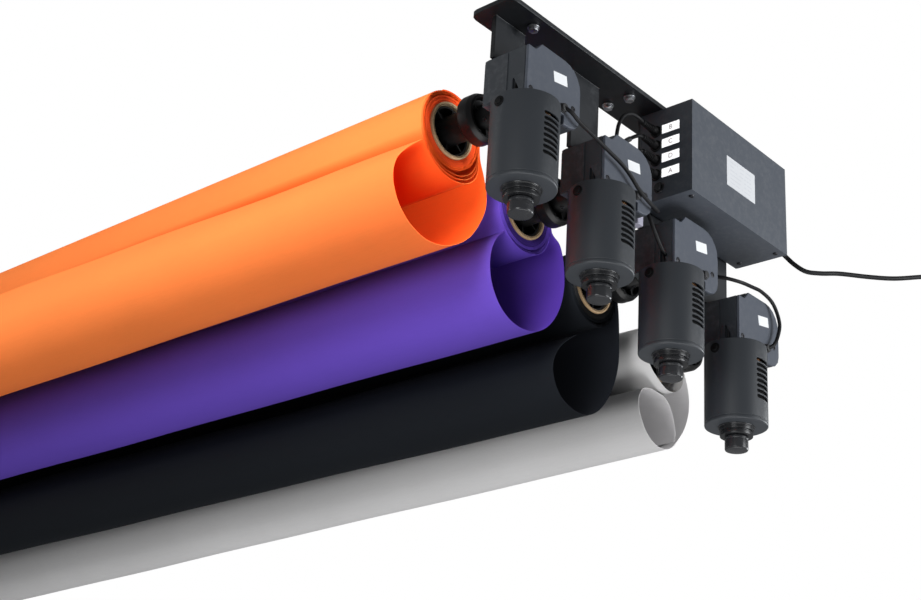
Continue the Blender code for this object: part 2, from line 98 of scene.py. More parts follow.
# ---- places taken from the frame ---------------------------------------
COVER_1 = mm_box("gear_cover_1")[0]
OFFSETS = {k: mm_box(f"gear_cover_{k}")[0] - COVER_1 for k in UNITS}   # unit k from unit 1
core_low, core_high = mm_box("core_1")
ROLL_Y, ROLL_Z = (core_low[1:] + core_high[1:]) / 2                    # roll axis, unit 1
AXES = {k: (ROLL_Y + OFFSETS[k][1], ROLL_Z + OFFSETS[k][2]) for k in UNITS}
knob_low, knob_high = mm_box("tail_knob_1")
MOTOR_X, MOTOR_Y = MOTOR = (knob_low[:2] + knob_high[:2]) / 2          # motor axis, unit 1
CAN_FLOOR = knob_high[2] + 10.6                                        # its height, unit 1
PAPER_X0, PAPER_X1 = (side[0] for side in mm_box("paper_roll_1"))


def roll_radius(k):
    low, high = mm_box(f"paper_roll_{k}")
    return (high[2] - low[2]) / 2


ROLL_R = {k: roll_radius(k) for k in UNITS}
# middle of the hollow of each hanging loop: (y, z) from the roll axis, then in place
LOOP_MIDDLE = per_unit((-24.0, -74.0), (-22.0, -76.0), (-22.0, -80.0), (0.0, -64.0))
LOOP_MIDDLE = {k: (AXES[k][0] + dy, AXES[k][1] + dz) for k, (dy, dz) in LOOP_MIDDLE.items()}


# ---- materials ------------------------------------------------------------
class Shader:
    """One material, with short calls for building its nodes."""

    def __init__(self, name):
        self.mat = bpy.data.materials.new(name)
        self.mat.use_nodes = True
        self.nodes = self.mat.node_tree.nodes
        self.nodes.clear()
        self.out = self.add("ShaderNodeOutputMaterial")
        self.bsdf = self.add("ShaderNodeBsdfPrincipled")
        self.link(self.bsdf.outputs[0], self.out.inputs[0])
        self.co = self.add("ShaderNodeTexCoord").outputs["Object"]

    def add(self, kind, **props):
        node = self.nodes.new(kind)
        for key, value in props.items():
            setattr(node, key, value)
        return node

    def link(self, source, target):
        self.mat.node_tree.links.new(source, target)

    def put(self, socket, value):
        """Link or set one socket; a plain colour gets its alpha."""
        if isinstance(value, bpy.types.NodeSocket):
            self.link(value, socket)
        elif socket.type == "RGBA":
            socket.default_value = (*value, 1)
        else:
            socket.default_value = value

    def feed(self, node, **values):
        for key, value in values.items():
            self.put(node.inputs[key.replace("_", " ")], value)
        return node

    def set(self, **values):
        self.feed(self.bsdf, **values)

    def mapped(self, source, **values):
        return self.feed(self.add("ShaderNodeMapping"), Vector=source, **values).outputs[0]

    def noise(self, scale, detail=3.0, rough=0.5, vec=None, distortion=0.0):
        node = self.feed(self.add("ShaderNodeTexNoise"), Vector=vec or self.co, Scale=scale,
                         Detail=detail, Roughness=rough, Distortion=distortion)
        return node.outputs["Fac"]

    def rings(self, radius, per_mm, detail):
        """Noise along a radius only, so it reads as concentric rings."""
        node = self.add("ShaderNodeTexNoise", noise_dimensions="1D")
        self.feed(node, W=self.calc("MULTIPLY", radius, per_mm), Scale=1.0, Detail=detail)
        return node.outputs["Fac"]

    def ramp(self, fac, *stops):
        """A colour ramp through (position, grey or colour) stops."""
        node = self.add("ShaderNodeValToRGB")
        self.put(node.inputs[0], fac)
        elements = node.color_ramp.elements
        while len(elements) < len(stops):
            elements.new(0.5)
        for element, (position, value) in zip(elements, stops):
            element.position = position
            element.color = (*(value if isinstance(value, tuple) else (value,) * 3), 1)
        return node.outputs[0]

    def map(self, value, span=(0.3, 0.7), to=(0.0, 1.0)):
        """Carry the range `span`, by default where most noise lies, onto `to`."""
        node = self.add("ShaderNodeMapRange")
        self.put(node.inputs[0], value)
        for i, limit in enumerate((*span, *to)):
            node.inputs[1 + i].default_value = limit
        return node.outputs[0]

    def mix(self, amount, base, over):
        node = self.add("ShaderNodeMix", data_type="RGBA")
        for i, value in ((0, amount), (6, base), (7, over)):
            self.put(node.inputs[i], value)
        return node.outputs[2]

    def calc(self, how, first, second=0.0):
        node = self.add("ShaderNodeMath", operation=how)
        for i, value in enumerate((first, second, 0.0)):
            self.put(node.inputs[i], value)
        return node.outputs[0]

    def bump(self, height, strength, depth, normal=None):
        node = self.add("ShaderNodeBump")
        self.feed(node, Height=height, Strength=strength, Distance=depth)
        if normal is not None:
            self.feed(node, Normal=normal)
        return node.outputs[0]

    def xyz(self):
        return self.feed(self.add("ShaderNodeSeparateXYZ"), Vector=self.co).outputs

    def radius(self):
        """Distance from the object's own X axis, in millimetres."""
        parts = self.xyz()
        squares = [self.calc("MULTIPLY", parts[i], parts[i]) for i in (1, 2)]
        return self.calc("MULTIPLY", self.calc("SQRT", self.calc("ADD", *squares)), 1000.0)

    def overlay(self, amount, shader):
        """Show a second shader mixed over the main one."""
        node = self.add("ShaderNodeMixShader")
        for i, value in enumerate((amount, self.bsdf.outputs[0], shader.outputs[0])):
            self.put(node.inputs[i], value)
        self.link(node.outputs[0], self.out.inputs[0])


def scale_rgb(rgb, by):
    return tuple(min(1.0, c * by) for c in rgb)


def paint(name, rgb, rough, peel, wear):
    """Satin powder coat: orange peel, handling smudges and edges rubbed lighter."""
    tree = Shader(name)
    cloudy = tree.noise(9.0, detail=4.0, rough=0.6)
    smudge = tree.noise(55.0, detail=6.0, rough=0.65, distortion=0.6)
    speck = tree.noise(1900.0, detail=2.0)
    clouds = tree.ramp(cloudy, (0.35, 0.0), (0.7, 1.0))
    colour = tree.mix(clouds, scale_rgb(rgb, 0.97), scale_rgb(rgb, 1.04))
    specks = tree.map(speck, span=(0.35, 0.75), to=(0.0, 0.10))
    colour = tree.mix(specks, colour, scale_rgb(rgb, 1.9))
    pointiness = tree.add("ShaderNodeNewGeometry").outputs["Pointiness"]
    edge = tree.map(pointiness, span=(0.515, 0.58))
    patches = tree.noise(160.0, detail=5.0, rough=0.7)
    worn = tree.calc("MULTIPLY", edge, tree.map(patches, span=(0.46, 0.70), to=(0.0, wear * 0.6)))
    tree.set(Base_Color=tree.mix(worn, colour, (0.19, 0.195, 0.205)))
    tree.set(Roughness=tree.calc("ADD", tree.map(smudge, to=(rough - 0.02, rough + 0.04)),
                                 tree.map(speck, to=(-0.03, 0.03))))
    peeled = tree.bump(tree.noise(620.0, detail=2.0, rough=0.4), strength=peel, depth=0.00016)
    tree.set(Normal=tree.bump(speck, strength=peel * 0.8, depth=0.00012, normal=peeled))
    return tree.mat


def paper(name, rgb, seed, spec, through=0.0, inside=None):
    """Matt seamless paper: fibre tooth, faint clouds, fine machine streaks along the roll."""
    tree = Shader(name)
    base = tree.mapped(tree.co, Location=(seed * 0.37, seed * 0.11, seed * 0.23))
    cloud = tree.noise(5.0, detail=4.0, rough=0.55, vec=base)
    fibre = tree.noise(1500.0, rough=0.7, vec=base)
    stretched = tree.mapped(base, Scale=(0.12, 1.0, 1.0))
    streak = tree.noise(420.0, rough=0.6, vec=stretched)

    def clouded(shade_rgb):
        return tree.mix(tree.map(cloud), scale_rgb(shade_rgb, 0.955), scale_rgb(shade_rgb, 1.045))

    colour = clouded(rgb)
    if inside:
        # painted bounce light and shade: light goes round and round in the hollow of a loop, which deepens
        # the colour there, so that deeper colour is painted where the paper faces the hollow
        deep = clouded(inside)
        facing_in = tree.add("ShaderNodeAttribute", attribute_name="inside").outputs["Fac"]
        colour = tree.mix(facing_in, colour, deep)
    fibres = tree.map(fibre, span=(0.38, 0.7), to=(0.0, 0.16))
    colour = tree.mix(fibres, colour, scale_rgb(rgb, 1.3))
    streaks = tree.map(streak, span=(0.45, 0.75), to=(0.0, 0.09))
    colour = tree.mix(streaks, colour, scale_rgb(rgb, 0.72))
    tree.set(Base_Color=colour, Specular_IOR_Level=spec)
    tree.set(Roughness=tree.map(fibre, to=(0.78, 0.92)))
    if through:
        glow = tree.feed(tree.add("ShaderNodeBsdfTranslucent"), Color=colour)
        tree.overlay(through, glow)
    wave = tree.bump(tree.noise(7.0, detail=2.0, vec=base), strength=0.03, depth=0.02)
    tooth = tree.bump(fibre, strength=0.16, depth=0.00016, normal=wave)
    tree.set(Normal=tree.bump(streak, strength=0.12, depth=0.0002, normal=tooth))
    return tree.mat


def rolled_edge(name, rgb, dark, seed):
    """The cut end of a wound roll: hundreds of turns seen edge on, with a few looser ones. Its darker rings
    are partly the turns' own tone and partly painted shade in the gaps between turns.
    """
    tree = Shader(name)
    centre = tree.radius()
    drift = tree.calc("SUBTRACT", tree.noise(16.0 + seed, detail=2.0), 0.5)
    radius = tree.calc("ADD", centre, tree.calc("MULTIPLY", drift, 0.9))
    fine = tree.rings(radius, per_mm=3.2, detail=4.0)
    broad = tree.rings(tree.calc("ADD", radius, seed * 3.1), per_mm=0.55, detail=2.0)
    # fine rings: turns edge on, the darker ones partly their own tone and partly painted shade between turns
    colour = tree.mix(tree.map(fine, span=(0.35, 0.62)), dark, rgb)
    # broad dark bands: painted shade in the gaps of the looser turns
    colour = tree.mix(tree.map(broad, span=(0.38, 0.6), to=(0.35, 0.0)), colour, dark)
    tree.set(Base_Color=colour, Roughness=0.82, Specular_IOR_Level=0.25)
    tree.set(Normal=tree.bump(fine, strength=0.5, depth=0.0004))
    return tree.mat


def card_end(name):
    """Cardboard core: plies at the cut end, a pale and a dark band inside the bore."""
    tree = Shader(name)
    radius = tree.radius()
    fibre = tree.noise(900.0, detail=4.0, rough=0.7)
    ply = tree.rings(radius, per_mm=4.5, detail=2.0)
    tan = tree.mix(tree.map(fibre), (0.55, 0.37, 0.20), (0.80, 0.60, 0.38))
    plies = tree.map(ply, span=(0.4, 0.6), to=(0.5, 0.0))
    tan = tree.mix(plies, tan, (0.30, 0.17, 0.07))
    bands = tree.ramp(tree.map(radius, span=(25.0, 28.6)),
                      (0.0, (0.60, 0.46, 0.29)), (0.20, (0.62, 0.47, 0.30)),
                      (0.24, (0.20, 0.11, 0.05)), (0.42, (0.26, 0.15, 0.07)),
                      (0.47, (0.7, 0.55, 0.36)))
    inner = tree.map(radius, span=(26.5, 26.8), to=(1.0, 0.0))
    tree.set(Base_Color=tree.mix(inner, tan, bands), Roughness=0.86, Specular_IOR_Level=0.2)
    tree.set(Normal=tree.bump(fibre, strength=0.35, depth=0.0003))
    return tree.mat


def metal(name, rgb, rough, grain=(1.0, 1.0, 1.0), metallic=1.0, dirt=(0.25, 0.22, 0.2)):
    """Machined or plated metal: turning lines along the grain scale, light tarnish."""
    tree = Shader(name)
    lines = tree.noise(2600.0, rough=0.6, vec=tree.mapped(tree.co, Scale=grain))
    patch = tree.noise(70.0, detail=5.0, rough=0.6)
    colour = tree.mix(tree.map(lines, to=(0.0, 0.5)), rgb, scale_rgb(rgb, 0.72))
    colour = tree.mix(tree.map(patch, span=(0.5, 0.78), to=(0.0, 0.45)), colour, dirt)
    tree.set(Base_Color=colour, Metallic=metallic)
    tree.set(Roughness=tree.calc("ADD", tree.map(patch, to=(rough - 0.05, rough + 0.1)),
                                 tree.map(lines, to=(-0.06, 0.06))))
    tree.set(Normal=tree.bump(lines, strength=0.12, depth=0.0001))
    return tree.mat


def plastic(name, rgb, rough=0.35, texture=900.0, strength=0.15, spec=0.5):
    """Moulded plastic or rubber: fine spark texture, faint scuffs and dust."""
    tree = Shader(name)
    grain = tree.noise(texture, detail=2.0)
    scuff = tree.noise(45.0, detail=6.0, rough=0.7, distortion=1.0)
    scuffs = tree.map(scuff, span=(0.52, 0.8), to=(0.0, 0.35))
    colour = tree.mix(scuffs, rgb, tuple(c + 0.035 for c in rgb))
    tree.set(Base_Color=colour, Specular_IOR_Level=spec)
    tree.set(Roughness=tree.map(scuff, to=(rough - 0.05, rough + 0.12)))
    tree.set(Normal=tree.bump(grain, strength=strength, depth=0.00015))
    return tree.mat


def winding(name):
    """Lacquered copper wire laid in diagonal bands."""
    tree = Shader(name)
    wave = tree.add("ShaderNodeTexWave", wave_type="BANDS", bands_direction="DIAGONAL")
    wire = tree.feed(wave, Vector=tree.co, Scale=260.0, Distortion=1.2).outputs["Fac"]
    lacquer = tree.noise(300.0)
    colour = tree.mix(wire, (0.35, 0.13, 0.04), (0.80, 0.42, 0.20))
    coats = tree.map(lacquer, span=(0.5, 0.8), to=(0.0, 0.6))
    colour = tree.mix(coats, colour, (0.75, 0.66, 0.5))
    tree.set(Base_Color=colour, Metallic=0.75, Roughness=0.3)
    tree.set(Normal=tree.bump(wire, strength=0.6, depth=0.0005))
    return tree.mat


def label(name, tint, rules=None):
    """Satin adhesive label, a little soiled; rules are (first y, last y, lowest z, pitch)."""
    tree = Shader(name)
    fibre = tree.noise(700.0)
    soil = tree.noise(30.0, detail=4.0)
    soiled = tree.map(soil, span=(0.4, 0.75), to=(0.0, 0.25))
    colour = tree.mix(soiled, tint, scale_rgb(tint, 0.86))
    if rules:
        y_first, y_last, z_low, pitch = (value * MM for value in rules)
        parts = tree.xyz()
        rows = tree.calc("DIVIDE", tree.calc("SUBTRACT", parts[2], z_low), pitch)
        phase = tree.calc("FRACT", rows)
        row = tree.calc("MULTIPLY", tree.calc("GREATER_THAN", phase, 0.38),
                        tree.calc("LESS_THAN", phase, 0.62))
        along = tree.calc("MULTIPLY", tree.calc("GREATER_THAN", parts[1], y_first),
                          tree.calc("LESS_THAN", parts[1], y_last))
        gaps = tree.noise(210.0, detail=0.0, vec=tree.mapped(tree.co, Scale=(0.0, 1.0, 0.35)))
        broken = tree.calc("GREATER_THAN", gaps, 0.44)
        ink = tree.calc("MULTIPLY", tree.calc("MULTIPLY", row, along), broken)
        colour = tree.mix(tree.calc("MULTIPLY", ink, 0.30), colour, (0.45, 0.47, 0.52))
    rough = tree.map(fibre, to=(0.42, 0.56))
    tree.set(Base_Color=colour, Roughness=rough, Specular_IOR_Level=0.4)
    tree.set(Normal=tree.bump(fibre, strength=0.1, depth=0.0001))
    return tree.mat


def board(name):
    """Printed circuit board: solder mask with tracks and bare pads."""
    tree = Shader(name)
    cells = tree.feed(tree.add("ShaderNodeTexBrick"),
                      Vector=tree.mapped(tree.co, Scale=(0.0, 95.0, 95.0)),
                      Color1=(0.012, 0.12, 0.045), Color2=(0.016, 0.15, 0.055),
                      Mortar=(0.03, 0.22, 0.08))
    dots = tree.feed(tree.add("ShaderNodeTexVoronoi"), Vector=tree.co, Scale=240.0)
    pads = tree.map(dots.outputs["Distance"], span=(0.12, 0.16), to=(1.0, 0.0))
    bare = tree.calc("GREATER_THAN", tree.noise(60.0, detail=1.0), 0.55)
    tin = tree.calc("MULTIPLY", pads, bare)
    colour = tree.mix(tin, cells.outputs["Color"], (0.65, 0.66, 0.68))
    rough = tree.map(tree.noise(500.0), to=(0.25, 0.45))
    tree.set(Base_Color=colour, Metallic=tin, Roughness=rough)
    tree.set(Normal=tree.bump(cells.outputs["Fac"], strength=0.3, depth=0.0002))
    return tree.mat


CAN_PAINT = paint("can_paint", (0.030, 0.0345, 0.041), rough=0.46, peel=0.05, wear=0.3)
HOUSE_PAINT = paint("housing_paint", (0.034, 0.039, 0.046), rough=0.48, peel=0.08, wear=0.35)
COVER_PAINT = paint("cover_paint", (0.066, 0.076, 0.098), rough=0.44, peel=0.07, wear=0.4)
BRACKET_PAINT = paint("bracket_paint", (0.014, 0.016, 0.0195), rough=0.42, peel=0.08, wear=0.4)
BOX_PAINT = paint("box_paint", (0.070, 0.080, 0.098), rough=0.44, peel=0.08, wear=0.4)
KNOB = plastic("knob_plastic", (0.025, 0.026, 0.029), rough=0.20, texture=500.0, strength=0.05)
ENAMEL = plastic("boss_enamel", (0.012, 0.0125, 0.014), rough=0.24, texture=500.0, strength=0.05)
HUB = plastic("hub_plastic", (0.0055, 0.0055, 0.006), rough=0.34, texture=700.0, strength=0.10,
              spec=0.3)
RUBBER = plastic("cable_rubber", (0.008, 0.008, 0.009), rough=0.5, texture=1400.0, strength=0.2,
                 spec=0.22)
RELIEF = plastic("relief_rubber", (0.018, 0.018, 0.020), rough=0.5)
BLACK_SCREW = metal("blackened_screw", (0.05, 0.05, 0.055), rough=0.35, metallic=0.8,
                    dirt=(0.03, 0.03, 0.03))
STEEL = metal("turned_steel", (0.72, 0.72, 0.70), rough=0.26, grain=(1.0, 0.06, 0.06),
              metallic=0.75)
ZINC = metal("bright_zinc", (0.50, 0.51, 0.53), rough=0.34)
SHADOW = plastic("recess_shadow", (0.005, 0.005, 0.0055), rough=0.6, spec=0.15)
IRON = metal("rotor_iron", (0.30, 0.28, 0.26), rough=0.42, grain=(0.1, 0.1, 1.0))
BRONZE = metal("wheel_bronze", (0.58, 0.38, 0.16), rough=0.32)
FERRITE = plastic("stator_ferrite", (0.004, 0.004, 0.004), rough=0.8, spec=0.1)
COPPER = winding("copper_winding")
GREY = plastic("grey_connector", (0.42, 0.41, 0.50), rough=0.4)
TIE = plastic("cable_tie", (0.035, 0.036, 0.04), rough=0.4)
BOARD = board("circuit_board_mask")
CARD = card_end("core_card")
SMALL_LABEL = label("small_label", (0.86, 0.87, 0.88))

# orange, purple, black and white paper
PAPER_RGB = per_unit((0.84, 0.228, 0.052), (0.098, 0.048, 0.380), (0.0056, 0.0070, 0.0095),
                     (0.66, 0.655, 0.655))
EDGE_RGB = per_unit((0.93, 0.105, 0.010), (0.060, 0.022, 0.26), (0.010, 0.010, 0.011),
                    (0.66, 0.64, 0.62))
# darker ring colour of the roll ends: partly the turns' own tone, partly painted shade in the gaps between
# turns
EDGE_TONE_AND_GAP_SHADE = per_unit((0.58, 0.035, 0.006), (0.014, 0.005, 0.085), (0.003, 0.003, 0.003),
                     (0.28, 0.26, 0.25))
# painted shade and bounce light: the deeper colour each paper takes where it faces the hollow of its loop;
# the paper itself is one colour on both sides
HOLLOW_SHADE_RGB = per_unit((0.90, 0.112, 0.012), (0.080, 0.030, 0.330), (0.0045, 0.0055, 0.0080),
                      (0.60, 0.59, 0.60))
# painted shade for unit 1: a redder orange on its loose turns, standing in for their shade and the light
# bounced between them; the other units keep the plain paper colour
SLACK_SHADE_RGB = {**PAPER_RGB, 1: (0.90, 0.105, 0.013)}
SHEET_SPEC = per_unit(0.14, 0.22, 0.10, 0.14)
SLACK_SPEC = 0.12
THROUGH = per_unit(0.32, 0.10, 0.02, 0.08)      # share of light let through the paper
SHEETS = {k: paper(f"sheet_paper_{k}", PAPER_RGB[k], k, spec=SHEET_SPEC[k], through=THROUGH[k],
                   inside=HOLLOW_SHADE_RGB[k]) for k in UNITS}
# unit 1's loose turns take the painted shade colour all over; its slack turns take it where they face the
# loop
TURNS = {k: paper(f"turns_paper_{k}", SLACK_SHADE_RGB[k], k, spec=SLACK_SPEC) for k in UNITS}
SLACK = {k: paper(f"slack_paper_{k}", PAPER_RGB[k], k, spec=SLACK_SPEC, through=THROUGH[k],
                  inside=SLACK_SHADE_RGB[k]) for k in UNITS}
EDGES = {k: rolled_edge(f"paper_edge_{k}", EDGE_RGB[k], EDGE_TONE_AND_GAP_SHADE[k], k) for k in UNITS}


# ---- geometry helpers; a shape is a pair (vertices in mm, faces) ------------
def shade(obj, angle):
    for poly in obj.data.polygons:
        poly.use_smooth = True
    obj.data.set_sharp_from_angle(angle=math.radians(angle))


def mount(obj, body, slot, replaces=False):
    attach(obj, body)
    if replaces:
        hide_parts(slot)


def piece(name, shape, mat, slot=None, body="frame", origin=(0.0, 0.0, 0.0), angle=35.0,
          replaces=False, fix=True):
    """A mesh object from a shape in the frame; with a slot, it rides on its body."""
    verts, faces = shape
    origin = np.array(origin, float)
    mesh = bpy.data.meshes.new(name)
    mesh.from_pydata(((np.asarray(verts, float) - origin) * MM).tolist(), [],
                     [list(map(int, face)) for face in faces])
    if fix:
        editor = bmesh.new()
        editor.from_mesh(mesh)
        bmesh.ops.recalc_face_normals(editor, faces=editor.faces)
        editor.to_mesh(mesh)
        editor.free()
    obj = bpy.data.objects.new(name, mesh)
    bpy.context.scene.collection.objects.link(obj)
    obj.location = origin * MM
    mesh.materials.append(mat)
    shade(obj, angle)
    if slot:
        mount(obj, body, slot, replaces)
    return obj


def moved(shape, k):
    """A shape of unit 1 shifted to unit k."""
    return np.asarray(shape[0], float) + OFFSETS[k], shape[1]


def unit_piece(k, kind, shape, mat, part, **options):
    return piece(f"{kind}_{k}", moved(shape, k), mat, f"{part}_{k}", **options)


def roll_piece(k, kind, shape, mat, part, **options):
    """A piece that turns with roll k; its shape is already in place."""
    return piece(f"{kind}_{k}", shape, mat, f"{part}_{k}", body=f"roll_{k}",
                 origin=(0.0, *AXES[k]), **options)


def filleted(profile, radius, closed, steps):
    """Round each corner of a profile of (along, r) or (along, r, own fillet) points."""
    pts = [np.array(p[:2], float) for p in profile]
    radii = [p[2] if len(p) > 2 else radius for p in profile]
    count, out = len(pts), []
    for i, corner in enumerate(pts):
        if not closed and i in (0, count - 1):
            out.append(corner)
            continue
        back, on = pts[i - 1] - corner, pts[(i + 1) % count] - corner
        back_len, on_len = np.linalg.norm(back), np.linalg.norm(on)
        back, on = back / back_len, on / on_len
        bend = math.acos(max(-1.0, min(1.0, float(back @ on))))
        if bend > math.radians(165) or radii[i] <= 0:
            out.append(corner)
            continue
        cut = min(radii[i] / math.tan(bend / 2), 0.45 * back_len, 0.45 * on_len)
        start, end = corner + back * cut, corner + on * cut
        for step in range(steps + 1):
            t = step / steps
            out.append((1 - t) ** 2 * start + 2 * t * (1 - t) * corner + t * t * end)
    return out


def place(axis, along, first, second):
    """A point at `along` on an axis; the others follow as (y, z), (z, x) or (x, y)."""
    return {"X": (along, first, second), "Y": (second, along, first),
            "Z": (first, second, along)}[axis]


def turned(axis, centre, profile, seg=64, fillet=0.6, steps=3):
    """A closed body of revolution; a profile that starts off the axis is a closed ring."""
    closed = profile[0][1] != 0
    first, second = centre
    verts, rings = [], []
    angles = np.arange(seg) * 2 * math.pi / seg
    for along, r in filleted(profile, fillet, closed, steps):
        if r < 1e-9:
            rings.append([len(verts)])
            verts.append(place(axis, along, first, second))
            continue
        rings.append(list(range(len(verts), len(verts) + seg)))
        verts += [place(axis, along, first + r * math.cos(t), second + r * math.sin(t))
                  for t in angles]
    faces = []
    pairs = list(zip(rings, rings[1:])) + ([(rings[-1], rings[0])] if closed else [])
    for low, high in pairs:
        for k in range(seg):
            j = (k + 1) % seg
            corners = [low[k % len(low)], low[j % len(low)],
                       high[j % len(high)], high[k % len(high)]]
            face = list(dict.fromkeys(corners))
            if len(face) > 2:
                faces.append(face)
    return np.array(verts, float), faces


def raised(base, profile):
    return [(base + p[0], *p[1:]) for p in profile]


def extruded(axis, outline, low, high):
    n = len(outline)
    verts = [place(axis, t, *point) for t in (low, high) for point in outline]
    faces = [list(range(n))[::-1], list(range(n, 2 * n))]
    faces += [[i, (i + 1) % n, n + (i + 1) % n, n + i] for i in range(n)]
    return np.array(verts, float), faces


def join(*shapes):
    verts, faces, base = [], [], 0
    for points, loops in shapes:
        verts.append(np.asarray(points, float))
        faces += [[i + base for i in face] for face in loops]
        base += len(points)
    return np.concatenate(verts), faces


def arc(x, y, r, start, end, seg):
    angles = [math.radians(start + (end - start) * k / seg) for k in range(seg + 1)]
    return [(x + r * math.cos(t), y + r * math.sin(t)) for t in angles]


def rounded(x0, x1, y0, y1, r, seg=5):
    """A rectangle with rounded corners."""
    return (arc(x1 - r, y1 - r, r, 0, 90, seg) + arc(x0 + r, y1 - r, r, 90, 180, seg)
            + arc(x0 + r, y0 + r, r, 180, 270, seg) + arc(x1 - r, y0 + r, r, 270, 360, seg))


def swapped(outline):
    return [(second, first) for first, second in outline]


def spun(shape, degrees, centre):
    """Turn a shape about X and carry its axis to the centre (y, z)."""
    verts, faces = shape
    c, s = math.cos(math.radians(degrees)), math.sin(math.radians(degrees))
    y, z = centre
    return np.stack([verts[:, 0], y + verts[:, 1] * c - verts[:, 2] * s,
                     z + verts[:, 1] * s + verts[:, 2] * c], 1), faces


def bevel(obj, width, segments=2, angle=32.0):
    mod = obj.modifiers.new("edge", "BEVEL")
    mod.width, mod.segments = width * MM, segments
    mod.limit_method, mod.angle_limit = "ANGLE", math.radians(angle)
    mod.harden_normals = True
    mod.use_clamp_overlap = True


def bake(obj):
    """Apply the modifiers."""
    bpy.context.view_layer.update()
    mesh = bpy.data.meshes.new_from_object(obj.evaluated_get(bpy.context.evaluated_depsgraph_get()))
    obj.modifiers.clear()
    before = obj.data
    obj.data = mesh
    mesh.name = obj.name
    bpy.data.meshes.remove(before)


def spline(points, steps):
    """A Catmull-Rom curve; its centripetal knots keep tight spans from looping."""
    pts = [np.array(p, float) for p in points]
    pts = [2 * pts[0] - pts[1]] + pts + [2 * pts[-1] - pts[-2]]
    out = []
    for i in range(1, len(pts) - 2):
        p0, p1, p2, p3 = span = pts[i - 1:i + 3]
        knots = [0.0]
        for p, q in zip(span, span[1:]):
            knots.append(knots[-1] + max(np.linalg.norm(q - p), 1e-6) ** 0.5)
        t0, t1, t2, t3 = knots
        for step in range(steps):
            t = t1 + (t2 - t1) * step / steps

            def between(p, q, start, end):
                return (end - t) / (end - start) * p + (t - start) / (end - start) * q

            middle = between(p1, p2, t1, t2)
            early = between(between(p0, p1, t0, t1), middle, t0, t2)
            late = between(middle, between(p2, p3, t2, t3), t1, t3)
            out.append(between(early, late, t1, t2))
    out.append(pts[-2])
    return np.array(out)


def cable(points, radius, seg=14, steps=6):
    """A round flexible lead along a smooth path, its ends closed."""
    path = spline(points, steps)
    verts, faces, side = [], [], None
    n = len(path)
    for i, p in enumerate(path):
        along = path[min(i + 1, n - 1)] - path[max(i - 1, 0)]
        along = along / np.linalg.norm(along)
        if side is None:
            side = np.cross(along, (0.0, 0.0, 1.0) if abs(along[2]) < 0.9 else (1.0, 0.0, 0.0))
        side = side - along * (side @ along)
        side = side / np.linalg.norm(side)
        over = np.cross(along, side)
        for k in range(seg):
            t = 2 * math.pi * k / seg
            verts.append(p + radius * (math.cos(t) * side + math.sin(t) * over))
    for i in range(n - 1):
        for k in range(seg):
            j = (k + 1) % seg
            faces.append([i * seg + k, i * seg + j, (i + 1) * seg + j, (i + 1) * seg + k])
    faces += [list(range(seg))[::-1], list(range((n - 1) * seg, n * seg))]
    return np.array(verts), faces


# ---- metalwork kept from the frame ----------------------------------------
def carried(node, mat, width, segments=2, angle=32.0, flatten=True):
    """A CAD node keeps its shape; its sharp edges get a small radius."""
    obj = NODES[node]
    mesh = obj.data
    mesh.materials.clear()
    mesh.materials.append(mat)
    stale = ("custom_normal", "sharp_face", "sharp_edge")
    for extra in [a for a in mesh.attributes if a.name in stale]:
        mesh.attributes.remove(extra)
    for poly in mesh.polygons:
        poly.use_smooth = True
    weld = obj.modifiers.new("weld", "WELD")
    weld.merge_threshold = 2e-6
    if flatten:
        flat = obj.modifiers.new("flat", "DECIMATE")
        flat.decimate_type, flat.angle_limit = "DISSOLVE", math.radians(0.6)
    bevel(obj, width, segments, angle)


for k in UNITS:
    carried(f"gear_housing_{k}", HOUSE_PAINT, width=0.4, flatten=False)
    carried(f"gear_cover_{k}", COVER_PAINT, width=0.9)
    carried(f"rotor_worm_{k}", IRON, width=0.15, segments=1, angle=50.0)
    carried(f"worm_wheel_{k}", BRONZE, width=0.15, segments=1, angle=40.0)
carried("drive_bracket", BRACKET_PAINT, width=1.1, segments=3)
carried("idle_bracket", BRACKET_PAINT, width=1.1, segments=3)
carried("box_shell", BOX_PAINT, width=1.0, segments=3)
carried("box_back", BOX_PAINT, width=0.5)
carried("circuit_board", BOARD, width=0.15, segments=1)
carried("pairing_button", KNOB, width=0.3)

# ---- motors of unit 1 ------------------------------------------------------
CAN_R, CAN_H = 31.2, 83.4
CAN_BORE = 4.4                       # hole in the can floor and the boss below it
CAN_INNER = CAN_R - 1.3
GROOVE_R = CAN_R - 0.35
SLOT_COUNT, SLOT_PITCH, SLOT_LOW = 8, 5.5, 25.2
SLOT_HALF, SLOT_R = 10.4, 1.95
BRUSH = (CAN_FLOOR + 75.0, MOTOR_X - 4.0)      # (z, x) of the brush hole in the -Y side
COVER_X = 36.0
# profiles of (height above the can floor, radius, fillet)
CAN_PROFILE = [
    (0.0, CAN_BORE), (0.0, CAN_R, 1.9), (3.2, CAN_R, 0.25), (3.5, GROOVE_R, 0.15),
    (4.0, GROOVE_R, 0.15), (4.3, CAN_R, 0.25), (CAN_H, CAN_R, 0.7), (CAN_H, CAN_INNER, 0.3),
    (3.0, CAN_INNER, 0.3), (3.0, CAN_BORE)]
BOSS_PROFILE = [
    (-10.0, CAN_BORE), (-10.0, 16.2, 0.5), (-6.4, 16.2, 0.3), (-6.0, 15.3, 0.2),
    (-5.2, 15.3, 0.2), (-4.8, 17.0, 0.3), (-1.2, 17.0, 0.3), (-0.9, 18.0, 0.3),
    (-0.1, 18.3, 0.2), (-0.1, CAN_BORE)]
LID_PROFILE = [(79.6, 8.0), (79.6, 29.0), (82.6, 29.0), (82.6, 27.0), (83.0, 26.4), (83.0, 8.0)]
STATOR_PROFILE = [(8.0, 27.0), (8.0, 28.9), (63.0, 28.9), (63.0, 27.0)]
